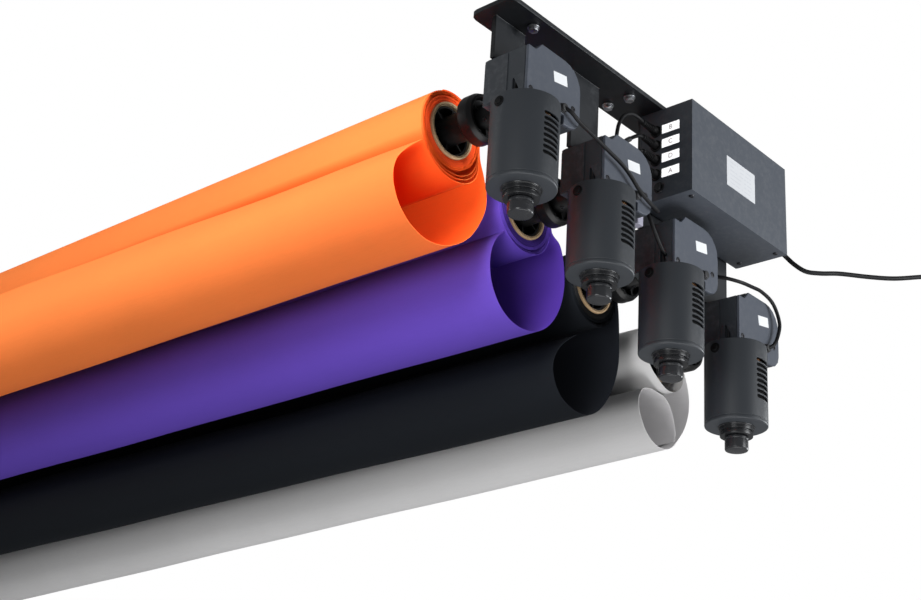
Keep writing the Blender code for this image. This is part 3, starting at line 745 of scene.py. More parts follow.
KNOB_PROFILE = [
    (-24.0, 0), (-24.0, 10.9, 0.9), (-22.6, 11.5, 0.8), (-14.4, 11.5, 0.3), (-14.0, 11.1, 0.2),
    (-13.4, 11.1, 0.2), (-13.0, 11.5, 0.3), (-10.6, 11.5, 0.6), (-10.6, 4.3), (-22.0, 4.3),
    (-22.0, 0)]
# profiles of (y from the motor axis, radius, fillet)
BRUSH_HOLE = [(-36.0, 0), (-36.0, 4.2), (-24.0, 4.2), (-24.0, 0)]
BRUSH_CAP = [
    (-33.4, 0), (-33.4, 3.1, 0.6), (-31.9, 3.3, 0.2), (-31.9, 5.0, 0.5), (-30.6, 5.2, 0.3),
    (-30.6, 4.0), (-26.0, 4.0), (-26.0, 0)]
# profiles of (x, radius, fillet)
BOOT_PROFILE = [
    (36.35, 0), (36.35, 4.8, 0.4), (37.2, 4.8, 0.3), (37.3, 3.5, 0.1), (37.9, 3.5, 0.1),
    (38.0, 4.3, 0.2), (38.6, 4.3, 0.2), (38.7, 3.3, 0.1), (39.3, 3.3, 0.1), (39.4, 3.9, 0.2),
    (39.9, 3.7, 0.2), (40.0, 2.4, 0.1), (40.0, 0)]
COVER_SCREW = [
    (COVER_X, 0), (COVER_X, 3.0), (36.75, 2.9, 0.3), (36.95, 1.9, 0.2), (36.95, 1.5, 0.1),
    (36.45, 1.4, 0.1), (36.45, 0)]
COVER_SCREWS = ((-15.0, 88.5), (44.5, 96.0))   # (y from the motor axis, z above the can floor)
# (x, z above the can floor)
WEB = [(19.45, 104.0), (31.5, 104.0), (31.5, 86.6), (28.0, 86.6), (21.0, 101.5), (19.45, 101.5)]
# (x, y from the motor axis, z above the can floor)
STUB = [(22.0, -18.4, 83.6), (22.1, -18.5, 90.0), (22.6, -18.3, 97.0), (22.6, -17.2, 103.4)]


def motor_turned(profile, **options):
    return turned("Z", MOTOR, raised(CAN_FLOOR, profile), **options)


def can_cuts():
    """The column of slots in the +X side of the can, and the brush hole."""
    cuts = []
    straight = SLOT_HALF - SLOT_R
    outline = (arc(straight, 0.0, SLOT_R, -90, 90, 8)
               + arc(-straight, 0.0, SLOT_R, 90, 270, 8))
    verts, faces = extruded("X", outline, 24.0, 36.0)
    x, y, z = verts.T
    tilt = math.radians(2)
    verts = np.stack([x * math.cos(tilt) - y * math.sin(tilt),
                      x * math.sin(tilt) + y * math.cos(tilt), z], 1)
    for k in range(SLOT_COUNT):
        height = CAN_FLOOR + SLOT_LOW + SLOT_PITCH * k
        cuts.append((verts + (MOTOR_X, MOTOR_Y, height), faces))
    cuts.append(turned("Y", BRUSH, raised(MOTOR_Y, BRUSH_HOLE), seg=32, fillet=0.0))
    return join(*cuts)


def motor_can(k):
    shape = motor_turned(CAN_PROFILE, seg=112, fillet=0.4, steps=4)
    can = piece(f"motor_can_skin_{k}", moved(shape, k), CAN_PAINT, angle=40.0)
    cutter = piece("cutter", moved(can_cuts(), k), CAN_PAINT)
    mod = can.modifiers.new("cut", "BOOLEAN")
    mod.operation, mod.solver, mod.object = "DIFFERENCE", "EXACT", cutter
    bake(can)
    bpy.data.objects.remove(cutter, do_unlink=True)
    shade(can, 30.0)
    mount(can, "frame", f"motor_can_{k}", replaces=True)


def rotor_winding(k):
    """Copper end turns, lumpy like a hand of coils."""
    verts, faces, around, across = [], [], 96, 14
    for s in range(around):
        turn = 2 * math.pi * s / around
        fat = 1.0 + 0.16 * math.sin(12 * turn) + 0.05 * math.sin(29 * turn + k)
        for m in range(across):
            roll = 2 * math.pi * m / across
            radius = 21.3 + 4.1 * fat * math.cos(roll)
            verts.append((MOTOR_X + radius * math.cos(turn), MOTOR_Y + radius * math.sin(turn),
                          CAN_FLOOR + 68.3 + 3.6 * fat * math.sin(roll)))
            s2, m2 = (s + 1) % around, (m + 1) % across
            faces.append([s * across + m, s2 * across + m, s2 * across + m2, s * across + m2])
    unit_piece(k, "rotor_winding", (verts, faces), COPPER, "rotor_worm", body=f"rotor_{k}")


def motor_fittings(k):
    """Parts in and below the can."""
    unit_piece(k, "tail_boss", motor_turned(BOSS_PROFILE, seg=96, fillet=0.4, steps=4),
               ENAMEL, "motor_can")
    unit_piece(k, "can_lid", motor_turned(LID_PROFILE, fillet=0.4), HOUSE_PAINT, "motor_can")
    # ferrite ring behind the slots
    unit_piece(k, "stator_ring", motor_turned(STATOR_PROFILE, fillet=0.4), FERRITE, "motor_can")
    rotor_winding(k)
    cap = turned("Y", BRUSH, raised(MOTOR_Y, BRUSH_CAP), seg=40, fillet=0.3)
    unit_piece(k, "brush_cap", cap, SHADOW, "motor_can")
    unit_piece(k, "tail_knob_skin", motor_turned(KNOB_PROFILE, seg=72, fillet=0.4), KNOB,
               "tail_knob", body=f"rotor_{k}", replaces=True)


def gearbox_details(k):
    # panel on the gearbox's front (-Y) face, raised a little
    outline = swapped(rounded(-13.4, 13.4, CAN_FLOOR + 85.2, CAN_FLOOR + 130.3, 1.2))
    panel = unit_piece(k, "front_panel", extruded("Y", outline, MOTOR_Y - 21.3, MOTOR_Y - 20.4),
                       HOUSE_PAINT, "gear_housing")
    bevel(panel, 0.3)
    # thin web closing most of the lead recess, cut on the slant where the lead comes up
    outline = [(CAN_FLOOR + z, x) for x, z in WEB]
    unit_piece(k, "recess_web", extruded("Y", outline, MOTOR_Y - 20.47, MOTOR_Y - 20.02),
               HOUSE_PAINT, "gear_housing")
    stub = [(x, MOTOR_Y + y, CAN_FLOOR + z) for x, y, z in STUB]
    unit_piece(k, "lead_stub", cable(stub, 1.5, seg=12, steps=5), TIE if k > 1 else RUBBER,
               "motor_can")


def cover_details(k):
    # ribbed boot where the lead enters the cover
    boot = turned("X", (MOTOR_Y + 30.0, CAN_FLOOR + 90.0), BOOT_PROFILE, seg=32, fillet=0.2)
    unit_piece(k, "lead_boot", boot, RELIEF, "gear_cover")
    for n, (y, z) in enumerate(COVER_SCREWS, 1):
        screw = turned("X", (MOTOR_Y + y, CAN_FLOOR + z), COVER_SCREW, seg=24, fillet=0.15)
        piece(f"cover_screw_{k}_{n}", moved(screw, k), BLACK_SCREW, f"gear_cover_{k}")
    # small label, tilted 10 degrees
    c, s = math.cos(math.radians(10)), math.sin(math.radians(10))
    outline = [(MOTOR_Y + 25.3 + y * c - z * s, CAN_FLOOR + 118.0 + y * s + z * c)
               for y, z in rounded(-9.5, 9.5, -5.25, 5.25, 0.5, 3)]
    unit_piece(k, "cover_label", extruded("X", outline, COVER_X + 0.3, COVER_X + 0.45),
               SMALL_LABEL, "gear_cover")


for k in UNITS:
    motor_can(k)
    motor_fittings(k)
    gearbox_details(k)
    cover_details(k)

# ---- rolls -----------------------------------------------------------------
PLY = 0.32                 # thickness of one modelled turn of paper
# profiles of (x, radius, fillet)
# drive hub: hollow plug, neck, tyre-shaped collar and sleeve
HUB_PROFILE = [
    (-165.0, 0), (-165.0, 23.4, 2.0), (-160.0, 24.3), (-96.5, 25.1, 0.5), (-96.5, 22.9, 0.4),
    (-108.0, 22.4, 0.6), (-108.0, 15.0, 1.0), (-97.0, 14.2), (-68.0, 14.2, 1.5),
    (-68.0, 24.5, 3.0), (-55.5, 24.5, 2.8), (-50.5, 22.3, 1.2), (-50.5, 19.4, 1.2),
    (-56.5, 18.2, 1.0), (-56.5, 12.6, 1.2), (-36.0, 11.8, 0.9), (-36.0, 8.35, 0.4),
    (-67.0, 8.35, 0.4), (-67.0, 0)]
# ground sleeve on the output shaft, with the groove near its +X end
SLEEVE_PROFILE = [
    (-52.0, 7.2), (-52.0, 8.2, 0.5), (-13.4, 8.2, 0.2), (-13.4, 7.6, 0.1), (-12.4, 7.6, 0.1),
    (-12.4, 8.2, 0.2), (-8.7, 8.2, 0.4), (-8.7, 7.2)]
PLUG_PROFILE = [
    (-1478.0, 0), (-1478.0, 9.0, 0.9), (-1449.5, 9.0, 0.6), (-1447.5, 11.0, 0.8),
    (-1447.5, 31.0, 0.8), (-1443.8, 31.0, 0.6), (-1443.8, 25.1, 0.3), (-1386.0, 24.4, 1.0),
    (-1380.0, 22.5, 1.5), (-1380.0, 0)]
# (distance from the roll axis, radius, fillet)
SET_SCREW = [
    (10.0, 0), (10.0, 2.2), (13.0, 2.2, 0.3), (13.0, 1.3, 0.1), (12.0, 1.2, 0.1), (12.0, 0)]
# how far the slack turns hang off the roll: (degrees from +Y towards +Z, sag)
SAG = [(0, 0.1), (20, 0), (160, 0), (180, 0), (200, 1.0), (227, 2.3), (252, 5.3), (273, 7.9),
       (297, 11.2), (316, 12.2), (330, 8.7), (345, 1.9), (360, 0.1)]
SAG_SIZE = {1: 1.0, 2: 0.32, 3: 0.25}
SAG_SHARE = (0.42, 0.70, 1.0)        # of the turns, inside to outside
# the slack outline of unit 4: (y, z) from the roll axis
SLACK_4 = [
    (-12, 29.6), (8, 30.8), (25, 22), (35, 8), (38.5, -8), (36, -23), (27, -33.5), (17, -38),
    (7, -38.3), (0, -36.3), (-8, -32.3), (-15, -28.2), (-22, -23.2), (-29, -13.5), (-32, 0),
    (-28, 15.5), (-18, 27)]


def mark_inside(obj, k):
    """Store at each vertex how far the paper looks towards the middle of loop k, at rest."""
    y, z = (v * MM for v in LOOP_MIDDLE[k])
    looks = [(v.normal.y * (y - v.co.y) + v.normal.z * (z - v.co.z)) / 0.012
             for v in obj.data.vertices]
    kept = obj.data.attributes.new("inside", "FLOAT", "POINT")
    kept.data.foreach_set("value", [min(1.0, max(0.0, look)) for look in looks])


def hub_ribs(k, count, start, outline, x0, x1):
    rib = extruded("X", outline, x0, x1)
    return [spun(rib, 360 // count * n + start + 8 * k, AXES[k]) for n in range(count)]


def drive_hub(k):
    ribs = hub_ribs(k, 6, 14, [(14.0, -1.1), (23.0, -0.8), (23.0, 0.8), (14.0, 1.1)],
                    -110.0, -97.4)
    ribs += hub_ribs(k, 3, 33, [(12.0, -1.4), (19.2, -1.1), (19.2, 1.1), (12.0, 1.4)],
                     -57.5, -52.0)
    shape = join(turned("X", AXES[k], HUB_PROFILE, seg=96), *ribs)
    roll_piece(k, "drive_hub_skin", shape, HUB, "drive_hub", replaces=True)
    sleeve = turned("X", AXES[k], SLEEVE_PROFILE, seg=56, fillet=0.2)
    roll_piece(k, "shaft_sleeve", sleeve, STEEL, "worm_wheel")
    # set screw in the hub's neck, turned about Z and then laid along Y
    verts, faces = turned("Z", (0.0, 0.0), SET_SCREW, seg=20, fillet=0.2)
    verts = verts[:, [0, 2, 1]] + (-45.0, 0.0, 0.0)
    screw = spun((verts, faces), 200 + 25 * k, AXES[k])
    roll_piece(k, "hub_screw", screw, BLACK_SCREW, "drive_hub")


def idle_plug(k):
    plug = turned("X", AXES[k], PLUG_PROFILE, seg=80)
    roll_piece(k, "idle_plug_skin", plug, HUB, "idle_plug", replaces=True)


def core(k):
    (x0, *_), (x1, *_) = mm_box(f"core_{k}")
    profile = [(x0, 25.4, 0.25), (x0, 28.5, 0.3), (x1, 28.5, 0.3), (x1, 26.6, 0.1),
               (x1 - 0.5, 26.5, 0.1), (x1 - 0.5, 26.1, 0.1), (x1 - 0.1, 26.0, 0.1),
               (x1, 25.4, 0.25)]
    shape = turned("X", AXES[k], profile, seg=96, fillet=0.25)
    roll_piece(k, "core_skin", shape, CARD, "core", replaces=True)


def wound_paper(k):
    """The tight middle of the roll; its ends step a little from turn to turn."""
    count = 22
    rng = np.random.default_rng(40 + k)
    radii = np.linspace(28.8, ROLL_R[k] - 4.9, count)
    lift = np.cumsum(rng.normal(0, 0.16, count))
    lift = np.clip(lift - np.linspace(lift[0], lift[-1], count), -0.5, 0.5)

    def stepped(ends):
        points = [(ends[0], radii[0], 0.0)]
        for n in range(count - 1):
            middle = (radii[n] + radii[n + 1]) / 2
            points += [(ends[n], middle - 0.02, 0.0), (ends[n + 1], middle + 0.02, 0.0)]
        return points + [(ends[-1], radii[-1], 0.0)]

    profile = stepped(PAPER_X1 - 0.6 + lift) + stepped(PAPER_X0 + 0.6 - lift)[::-1]
    shape = turned("X", AXES[k], profile, seg=96, fillet=0.0)
    roll_piece(k, "paper_wound", shape, EDGES[k], "paper_roll", angle=25.0)


def loose_turns(k):
    """The last turns wind looser: one long ribbon spiralling out to the full radius."""
    y, z = AXES[k]
    turns, seg = 4, 84
    count = turns * seg + 1
    angles = np.linspace(0, 2 * math.pi * turns, count) + math.radians(-140)
    done = np.linspace(0, 1, count)
    radii = ROLL_R[k] - 1.62 - (1.0 - done) * 3.1 + 0.03 * np.sin(angles * 3 + k) * (1 - done)
    slips = -0.9 * (0.5 + 0.5 * np.sin(angles * 0.61 + k)) * (1 - done ** 2)
    verts, faces = [], []
    for t, r, slip in zip(angles, radii, slips):
        c, s = math.cos(t), math.sin(t)
        x0, x1, outer = PAPER_X0 - slip, PAPER_X1 + slip, r + PLY
        verts += [(x0, y + r * c, z + r * s), (x1, y + r * c, z + r * s),
                  (x1, y + outer * c, z + outer * s), (x0, y + outer * c, z + outer * s)]
    for base in range(0, 4 * (count - 1), 4):
        for m in range(4):
            m2 = (m + 1) % 4
            faces.append([base + m, base + m2, base + 4 + m2, base + 4 + m])
    faces += [[0, 1, 2, 3], [4 * (count - 1) + m for m in (3, 2, 1, 0)]]
    roll_piece(k, "paper_turns", (verts, faces), TURNS[k], "paper_roll", angle=30.0,
               replaces=True)


def slack_outline(k, j):
    """Middle line of slack turn j, as (y, z) from the roll axis."""
    if k < 4:
        degrees = np.arange(0, 360, 3.0)
        sag = np.interp(degrees, *zip(*SAG))
        sag = sum(np.roll(sag, m) for m in (-2, -1, 0, 1, 2)) / 5 * SAG_SIZE[k] * SAG_SHARE[j]
        r = ROLL_R[k] - 1.0 + 0.42 * j + sag
        return np.stack([r * np.cos(np.radians(degrees)), r * np.sin(np.radians(degrees))], 1)
    points = [SLACK_4[-1]] + SLACK_4 + [SLACK_4[0]]
    ring = spline(points, 6)[6:-6][:-1]
    if j == 0:
        # the inner turn keeps closer to the tight roll
        size = np.hypot(ring[:, 0], ring[:, 1])
        ring = ring * (np.maximum(30.3, 30.3 + (size - 31.6) * 0.55) / size)[:, None]
    return ring


def slack_turn(k, j):
    """A turn on the free sheet's side: hangs off the tight roll and stays while it turns."""
    y, z = AXES[k]
    ring = slack_outline(k, j)
    along = np.roll(ring, -1, 0) - np.roll(ring, 1, 0)
    along /= np.linalg.norm(along, axis=1)[:, None]
    normals = np.stack([along[:, 1], -along[:, 0]], 1)
    count = len(ring)
    if k < 4:
        x1 = PAPER_X1 - (1.3, 0.2, 0.8)[(j + k) % 3]
    else:
        x1 = PAPER_X1 + (0.0, 9.0)[j]
    xs = np.linspace(PAPER_X0 + (0.9, 0.3, 1.4)[(j + k) % 3], x1, 9)
    verts, faces = [], []
    for x in xs:
        for side in (-PLY / 2, PLY / 2):
            verts += [(x, y + p[0] + w[0] * side, z + p[1] + w[1] * side)
                      for p, w in zip(ring, normals)]
    for n in range(len(xs) - 1):
        for m in range(count):
            m2 = (m + 1) % count
            a, b = 2 * count * n, 2 * count * (n + 1)
            faces.append([a + m, a + m2, b + m2, b + m])
            faces.append([a + count + m, b + count + m, b + count + m2, a + count + m2])
    last = 2 * count * (len(xs) - 1)
    for m in range(count):
        m2 = (m + 1) % count
        faces.append([m, count + m, count + m2, m2])
        faces.append([last + m, last + m2, last + count + m2, last + count + m])
    turn = piece(f"slack_turn_{k}_{j + 1}", (verts, faces), SLACK[k], f"paper_end_{k}",
                 angle=30.0)
    mark_inside(turn, k)


for k in UNITS:
    drive_hub(k)
    idle_plug(k)
    core(k)
    wound_paper(k)
    loose_turns(k)
    for j in range(3 if k < 4 else 2):
        slack_turn(k, j)

# ---- loose paper ends --------------------------------------------------------
# the hanging loops at the drive end: (y, z) from the roll axis, from roll to free edge
LOOPS = per_unit(
    [(43, -12), (50, -28), (55, -45), (55, -60), (47, -80), (35, -98), (18, -112), (-2, -121),
     (-24, -123), (-47, -115), (-64, -98), (-71, -78), (-68, -60), (-57, -45), (-46, -34),
     (-37, -26)],
    [(43, -6), (56, -14), (64, -36), (65, -62), (57, -88), (41, -109), (20, -121), (-6, -123),
     (-28, -114), (-43, -95), (-48, -75), (-46, -57), (-39, -43), (-30, -33.5)],
    [(43, -8), (45, -25), (46, -45), (46, -68), (40, -92), (30, -112), (15, -130), (-4, -141),
     (-28, -142), (-48, -134), (-59, -119), (-61, -104), (-54, -88), (-41, -74), (-26, -63)],
    [(38, 17), (48, 4), (55, -8), (61, -24), (62, -42), (56, -62), (44, -80), (26, -97),
     (4, -101), (-17, -91), (-30, -71), (-31, -57), (-25, -46), (-13, -41.5), (4, -41.5),
     (17, -43.5), (26, -51), (32, -62), (35.5, -73), (36, -81), (34.5, -87)],
)
# the loops hang deeper towards the idle end, by this factor there
DEEPER = per_unit(1.07, 1.10, 1.19, 1.44)
FAR_TAIL = [(-60, -38), (-52, -22), (-45, -4)]      # last points of loop 1 at the idle end
PATH_STEPS = 7


def sheet_paths(k):
    """The sheet's line at the drive and idle ends, and how many points lie on the roll."""
    radius = 32.9 if k == 4 else ROLL_R[k] + PLY
    degrees = range(126, 62, -8) if k == 4 else range(112, 8, -8)
    lead_in = [(radius * math.cos(math.radians(t)), radius * math.sin(math.radians(t)))
               for t in degrees]
    if k == 4:
        lead_in.append((22, 27))
    top = LOOPS[k][0][1]
    far_loop = [(y, top + (z - top) * DEEPER[k]) for y, z in LOOPS[k]]
    if k == 1:
        far_loop[-3:] = FAR_TAIL
    paths = []
    for loop in (LOOPS[k], far_loop):
        path = spline(lead_in + loop, PATH_STEPS)
        gap = np.hypot(path[:, 0], path[:, 1])
        low = (gap < radius) & (gap > 1)
        path[low] *= (radius / gap[low])[:, None]      # keeps it outside the roll
        paths.append(path)
    return *paths, len(lead_in) * PATH_STEPS


def paper_sheet(k):
    y, z = AXES[k]
    near, far, wrap = sheet_paths(k)
    along = np.gradient(near, axis=0)
    along /= np.linalg.norm(along, axis=1)[:, None]
    normals = np.stack([-along[:, 1], along[:, 0]], 1)
    steps = np.linalg.norm(np.diff(near, axis=0), axis=1)
    length = np.concatenate([[0.0], np.cumsum(steps)])
    free = np.clip((length - length[wrap]) / (length[-1] - length[wrap]), 0, 1)
    xs = np.concatenate([np.linspace(PAPER_X0, PAPER_X1 - 60, 52)[:-1],
                         np.linspace(PAPER_X1 - 60, PAPER_X1, 9)])
    verts, faces = [], []
    cols = len(xs)
    for p, e, w, q in zip(near, far, normals, free):
        for x in xs:
            # long shallow waves that grow towards the free edge
            t = (PAPER_X1 - x) / (PAPER_X1 - PAPER_X0)
            ripple = 0.9 * math.sin(x / 118.0 + k) + 0.5 * math.sin(x / 47.0 + 2.1 * k + 3 * q)
            wave = q * ripple * min(1.0, (PAPER_X1 - x) / 160.0 + 0.12)
            py, pz = p + (e - p) * t
            verts.append((x, y + py + w[0] * wave, z + pz + w[1] * wave))
    for n in range(len(near) - 1):
        for m in range(cols - 1):
            a = n * cols + m
            faces.append([a, a + 1, a + cols + 1, a + cols])
    sheet = piece(f"paper_sheet_{k}", (verts, faces), SHEETS[k], angle=80.0, fix=False)
    thick = sheet.modifiers.new("thick", "SOLIDIFY")
    thick.thickness, thick.offset = 0.00034, 0.0
    thick.use_rim = True
    bake(sheet)
    shade(sheet, 50.0)
    mark_inside(sheet, k)
    # the sheet passes from the frame to its loose body between these two places
    start = (0.0, (y + 43.0) * MM, (z - 8.0) * MM)
    end = (0.0, (y + 43.0 - 28.0 * 0.447) * MM, (z - 8.0 - 28.0 * 0.894) * MM)
    if k == 2:
        # the purple sheet gives way close to its roll, to hang clear of the black loop
        start = (0.0, (y + 41.0) * MM, (z + 1.5) * MM)
        end = (0.0, (y + 43.6) * MM, (z - 7.5) * MM)
    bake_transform(sheet, "frame", f"loose_paper_{k}", start=start, end=end)
    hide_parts(f"paper_end_{k}")


for k in UNITS:
    paper_sheet(k)

# ---- ceiling bolts: profiles of (z, radius, fillet) -----------------------------
WASHER = [(-6.9, 3.4), (-6.9, 5.8, 0.4), (-5.15, 5.8, 0.4), (-5.15, 3.4)]
BOLT_DOME = [
    (-10.6, 0), (-10.5, 2.2, 0.3), (-10.1, 3.6, 0.5), (-9.2, 4.4, 0.4), (-6.9, 4.6, 0.2),
    (-6.9, 3.0), (-0.6, 3.0), (-0.6, 0)]
HEX_R = 4.85


def ceiling_bolt(n):
    slot = f"ceiling_bolt_{n}"
    low, high = mm_box(slot)
    x, y = (low[:2] + high[:2]) / 2
    shape = join(turned("Z", (x, y), WASHER, seg=40, fillet=0.3),
                 turned("Z", (x, y), BOLT_DOME, seg=36, fillet=0.3))
    piece(f"bolt_skin_{n}", shape, ZINC, slot, origin=(x, y, -5.0), replaces=True)
    angles = [math.radians(17 * n) + t * math.pi / 3 for t in range(6)]
    outline = [(x + HEX_R * math.cos(t), y + HEX_R * math.sin(t)) for t in angles]
    head = piece(f"bolt_hex_{n}", extruded("Z", outline, -10.1, -6.8), ZINC, slot,
                 origin=(x, y, -5.0))
    bevel(head, 0.4, segments=3)


for n in range(1, 6):
    ceiling_bolt(n)

# ---- control box details --------------------------------------------------------
box_low, box_high = mm_box("box_shell")
BOX_SIDE, BOX_FRONT, BOX_FLOOR = box_high[0], box_low[1], box_low[2]    # +X, -Y, -Z faces
LABEL_THICK = 0.14
SOCKET_X = 18.0
SOCKET_TOP, SOCKET_PITCH = -29.0, 16.2
LETTER_X, LETTER_SIZE = 35.0, 7.2
LETTER_Z = {"B": -28.6, "C": -44.5, "D": -60.8, "A": -77.6}
BUTTON = (-92.8, 21.9)      # (z, x)
BOX_SCREWS = ((9.0, 40.0), (9.0, 195.0), (52.0, 195.0), (52.0, 40.0))   # (x, y)
# profiles of (distance from the box face, radius, fillet)
SOCKET_RING = [(-1.6, 4.5), (-1.6, 6.0, 0.4), (-0.05, 6.4, 0.3), (-0.05, 4.5)]
BEZEL = [(-1.3, 4.35), (-1.3, 5.6, 0.4), (-0.05, 6.0, 0.2), (-0.05, 4.35)]
BOX_SCREW = [(-1.0, 0), (-1.0, 0.9, 0.1), (-1.3, 1.1, 0.1), (-1.2, 2.2, 0.3),
             (-0.02, 2.9, 0.2), (0.3, 2.0), (0.3, 0)]

BOX_LABEL = label("box_label_paper", (0.70, 0.71, 0.73), rules=(97.0, 137.0, -70.0, 4.6))
piece("box_label", extruded("X", rounded(91.0, 143.5, -73.0, -40.0, 0.8, 4),
                            BOX_SIDE, BOX_SIDE + LABEL_THICK), BOX_LABEL, "box_shell")
TAG = label("socket_label_paper", (0.93, 0.93, 0.94))
INK = plastic("letter_ink", (0.33, 0.22, 0.24), rough=0.6)


def socket_letter(n, letter, z):
    curve = bpy.data.curves.new(f"letter_{n}", "FONT")
    curve.body, curve.size = letter, LETTER_SIZE * MM
    curve.align_x, curve.align_y = "CENTER", "CENTER"
    curve.extrude = 0.00004
    text = bpy.data.objects.new("letter_text", curve)
    bpy.context.scene.collection.objects.link(text)
    at = Vector((LETTER_X, BOX_FRONT - 0.18, z)) * MM
    text.matrix_world = Matrix.Translation(at) @ Matrix.Rotation(math.radians(90), 4, "X")
    bpy.context.view_layer.update()
    evaluated = text.evaluated_get(bpy.context.evaluated_depsgraph_get())
    mesh = bpy.data.meshes.new_from_object(evaluated)
    mesh.transform(text.matrix_world)
    bpy.data.objects.remove(text, do_unlink=True)
    ink = bpy.data.objects.new(f"socket_letter_{n}", mesh)
    bpy.context.scene.collection.objects.link(ink)
    mesh.materials.clear()
    mesh.materials.append(INK)
    mount(ink, "frame", "box_shell")


for n, (letter, z) in enumerate(LETTER_Z.items(), 1):
    outline = swapped(rounded(24.7, 45.3, z - 4.8, z + 4.8, 0.4, 3))
    piece(f"socket_label_{n}", extruded("Y", outline, BOX_FRONT - LABEL_THICK, BOX_FRONT), TAG,
          "box_shell")
    socket_letter(n, letter, z)
    # panel socket behind each plug
    centre = (SOCKET_TOP - SOCKET_PITCH * (n - 1), SOCKET_X)
    ring = turned("Y", centre, raised(BOX_FRONT, SOCKET_RING), seg=36, fillet=0.3)
    piece(f"socket_ring_{n}", ring, HUB, "box_shell")
bezel = turned("Y", BUTTON, raised(BOX_FRONT, BEZEL), seg=36, fillet=0.3)
piece("button_bezel", bezel, BLACK_SCREW, "pairing_button")
for n, centre in enumerate(BOX_SCREWS, 1):
    screw = turned("Z", centre, raised(BOX_FLOOR, BOX_SCREW), seg=24, fillet=0.2)
    piece(f"box_screw_{n}", screw, BLACK_SCREW, "box_shell")

# ---- leads: paths of (x, y, z), starting at the box ----------------------------------
LEADS = per_unit(
    [(18, 8, -77.6), (18, 2, -78.4), (17.5, 0.5, -84), (19, 3, -95), (22, 6, -110),
     (30, 6.5, -125), (38.5, 3, -134), (41.5, -9, -134.5), (41.8, -22, -131), (42, -34, -126),
     (42.3, -47, -118.5), (42.5, -60, -113.5), (42.5, -83, -108.5), (42.5, -106, -103.5),
     (42.5, -126, -99.5), (42, -137, -95), (38.5, -142, -91.7)],
    [(18, 8, -29), (18, 0, -27.5), (17, -11, -27.5), (16, -22, -34), (15, -29, -46),
     (14.5, -31.5, -58), (14, -32.5, -70), (14, -33, -79.0)],
    [(18, 8, -61.4), (17, 2, -62.5), (12, 0, -71), (9, 2, -85), (9, 6, -98), (13, 9, -110),
     (20, 8, -121), (26, 6, -133), (28, 12, -146), (27, 22, -155), (26, 29.5, -160.5),
     (25.5, 35.5, -163.5)],
    [(18, 8, -45.2), (17, 0, -46.5), (10, -7, -52), (0, -10, -60), (-12, -8, -72),
     (-15.5, 0, -88), (-15.5, 15, -104), (-15, 40, -115), (-15, 75, -121), (-14.5, 101, -126),
     (-2, 116, -138), (18, 123, -149), (34, 130, -154), (41.5, 143, -155), (42, 164, -152.5),
     (42, 184, -151), (42.5, 205, -157), (43.5, 215, -175), (43, 212, -190), (42, 205, -202),
     (38.5, 200, -206.3)],
)
MAINS = [
    (50, 210, -97), (51, 218, -100), (58, 224, -109), (66, 232, -115.5), (75, 245, -115),
    (86, 265, -110.5), (105, 297, -107), (120, 322, -103), (137, 352, -94)]
# (y, radius, fillet)
GLAND = [
    (205.6, 0), (205.6, 5.6, 0.4), (208.4, 5.6, 0.5), (208.6, 4.6, 0.2), (209.6, 4.6, 0.2),
    (209.8, 4.9, 0.3), (211.0, 4.6, 0.2), (211.2, 4.0, 0.2), (212.2, 3.9, 0.2),
    (212.4, 4.2, 0.2), (213.6, 3.8, 0.2), (216.0, 3.0, 0.4), (216.0, 0)]


def plug_profile():
    """A tapering plug with six ribs: (y, radius, fillet)."""
    profile = [(BOX_FRONT - 0.3, 0), (BOX_FRONT - 0.3, 4.4, 0.3), (20.5, 4.2, 0.5)]
    for n in range(6):
        y = 19.5 - 2.2 * n
        r = 3.9 - 0.14 * n
        profile += [(y, r - 0.75, 0.15), (y - 0.7, r - 0.75, 0.15), (y - 0.9, r, 0.2),
                    (y - 1.9, r - 0.05, 0.2)]
    return profile + [(5.5, 2.5, 0.4), (5.5, 0)]


for k, points in LEADS.items():
    plug = turned("Y", (points[0][2], SOCKET_X), plug_profile(), seg=36, fillet=0.3)
    piece(f"lead_{k}", join(cable(points, 1.9, steps=7), plug), RUBBER, f"motor_lead_{k}",
          angle=40.0, replaces=True)
gland = turned("Y", (MAINS[0][2], MAINS[0][0]), GLAND, seg=36, fillet=0.3)
piece("mains_lead", join(cable(MAINS, 2.4, seg=16, steps=8), gland), RUBBER, "mains_cable",
      angle=40.0, replaces=True)

connector = piece("inline_connector",
                  extruded("Z", rounded(5.0, 15.0, 4.0, 14.0, 1.4, 4), -139.0, -127.5),
                  GREY, "motor_lead_3")
bevel(connector, 0.9)
tie = cable([(11.6, -5.4, -50.5), (9.0, -7.9, -53.0), (5.8, -9.2, -55.4)], 2.6, seg=16, steps=3)
piece("lead_tie", tie, TIE, "motor_lead_4")


# ---- stage and world, in metres --------------------------------------------------------
def floor_card():
    """Reads pale to the camera without throwing more light up at the pieces."""
    tree = Shader("floor_card")
    pale = tree.mix(tree.noise(3.0), (0.80, 0.80, 0.80), (0.84, 0.84, 0.84))
    tree.set(Base_Color=pale, Roughness=0.8)
    shine = tree.feed(tree.add("ShaderNodeEmission"), Color=pale)
    seen = tree.add("ShaderNodeLightPath").outputs["Is Camera Ray"]
    tree.overlay(tree.calc("MULTIPLY", seen, 0.85), shine)
    return tree.mat


def stage_floor():
    editor = bmesh.new()
    bmesh.ops.create_grid(editor, x_segments=1, y_segments=1, size=6.0)
    mesh = bpy.data.meshes.new("floor")
    editor.to_mesh(mesh)
    editor.free()
    floor = bpy.data.objects.new("floor", mesh)
    bpy.context.scene.collection.objects.link(floor)
    floor.location = (-0.7, 0.0, -2.35)
    mesh.materials.append(floor_card())


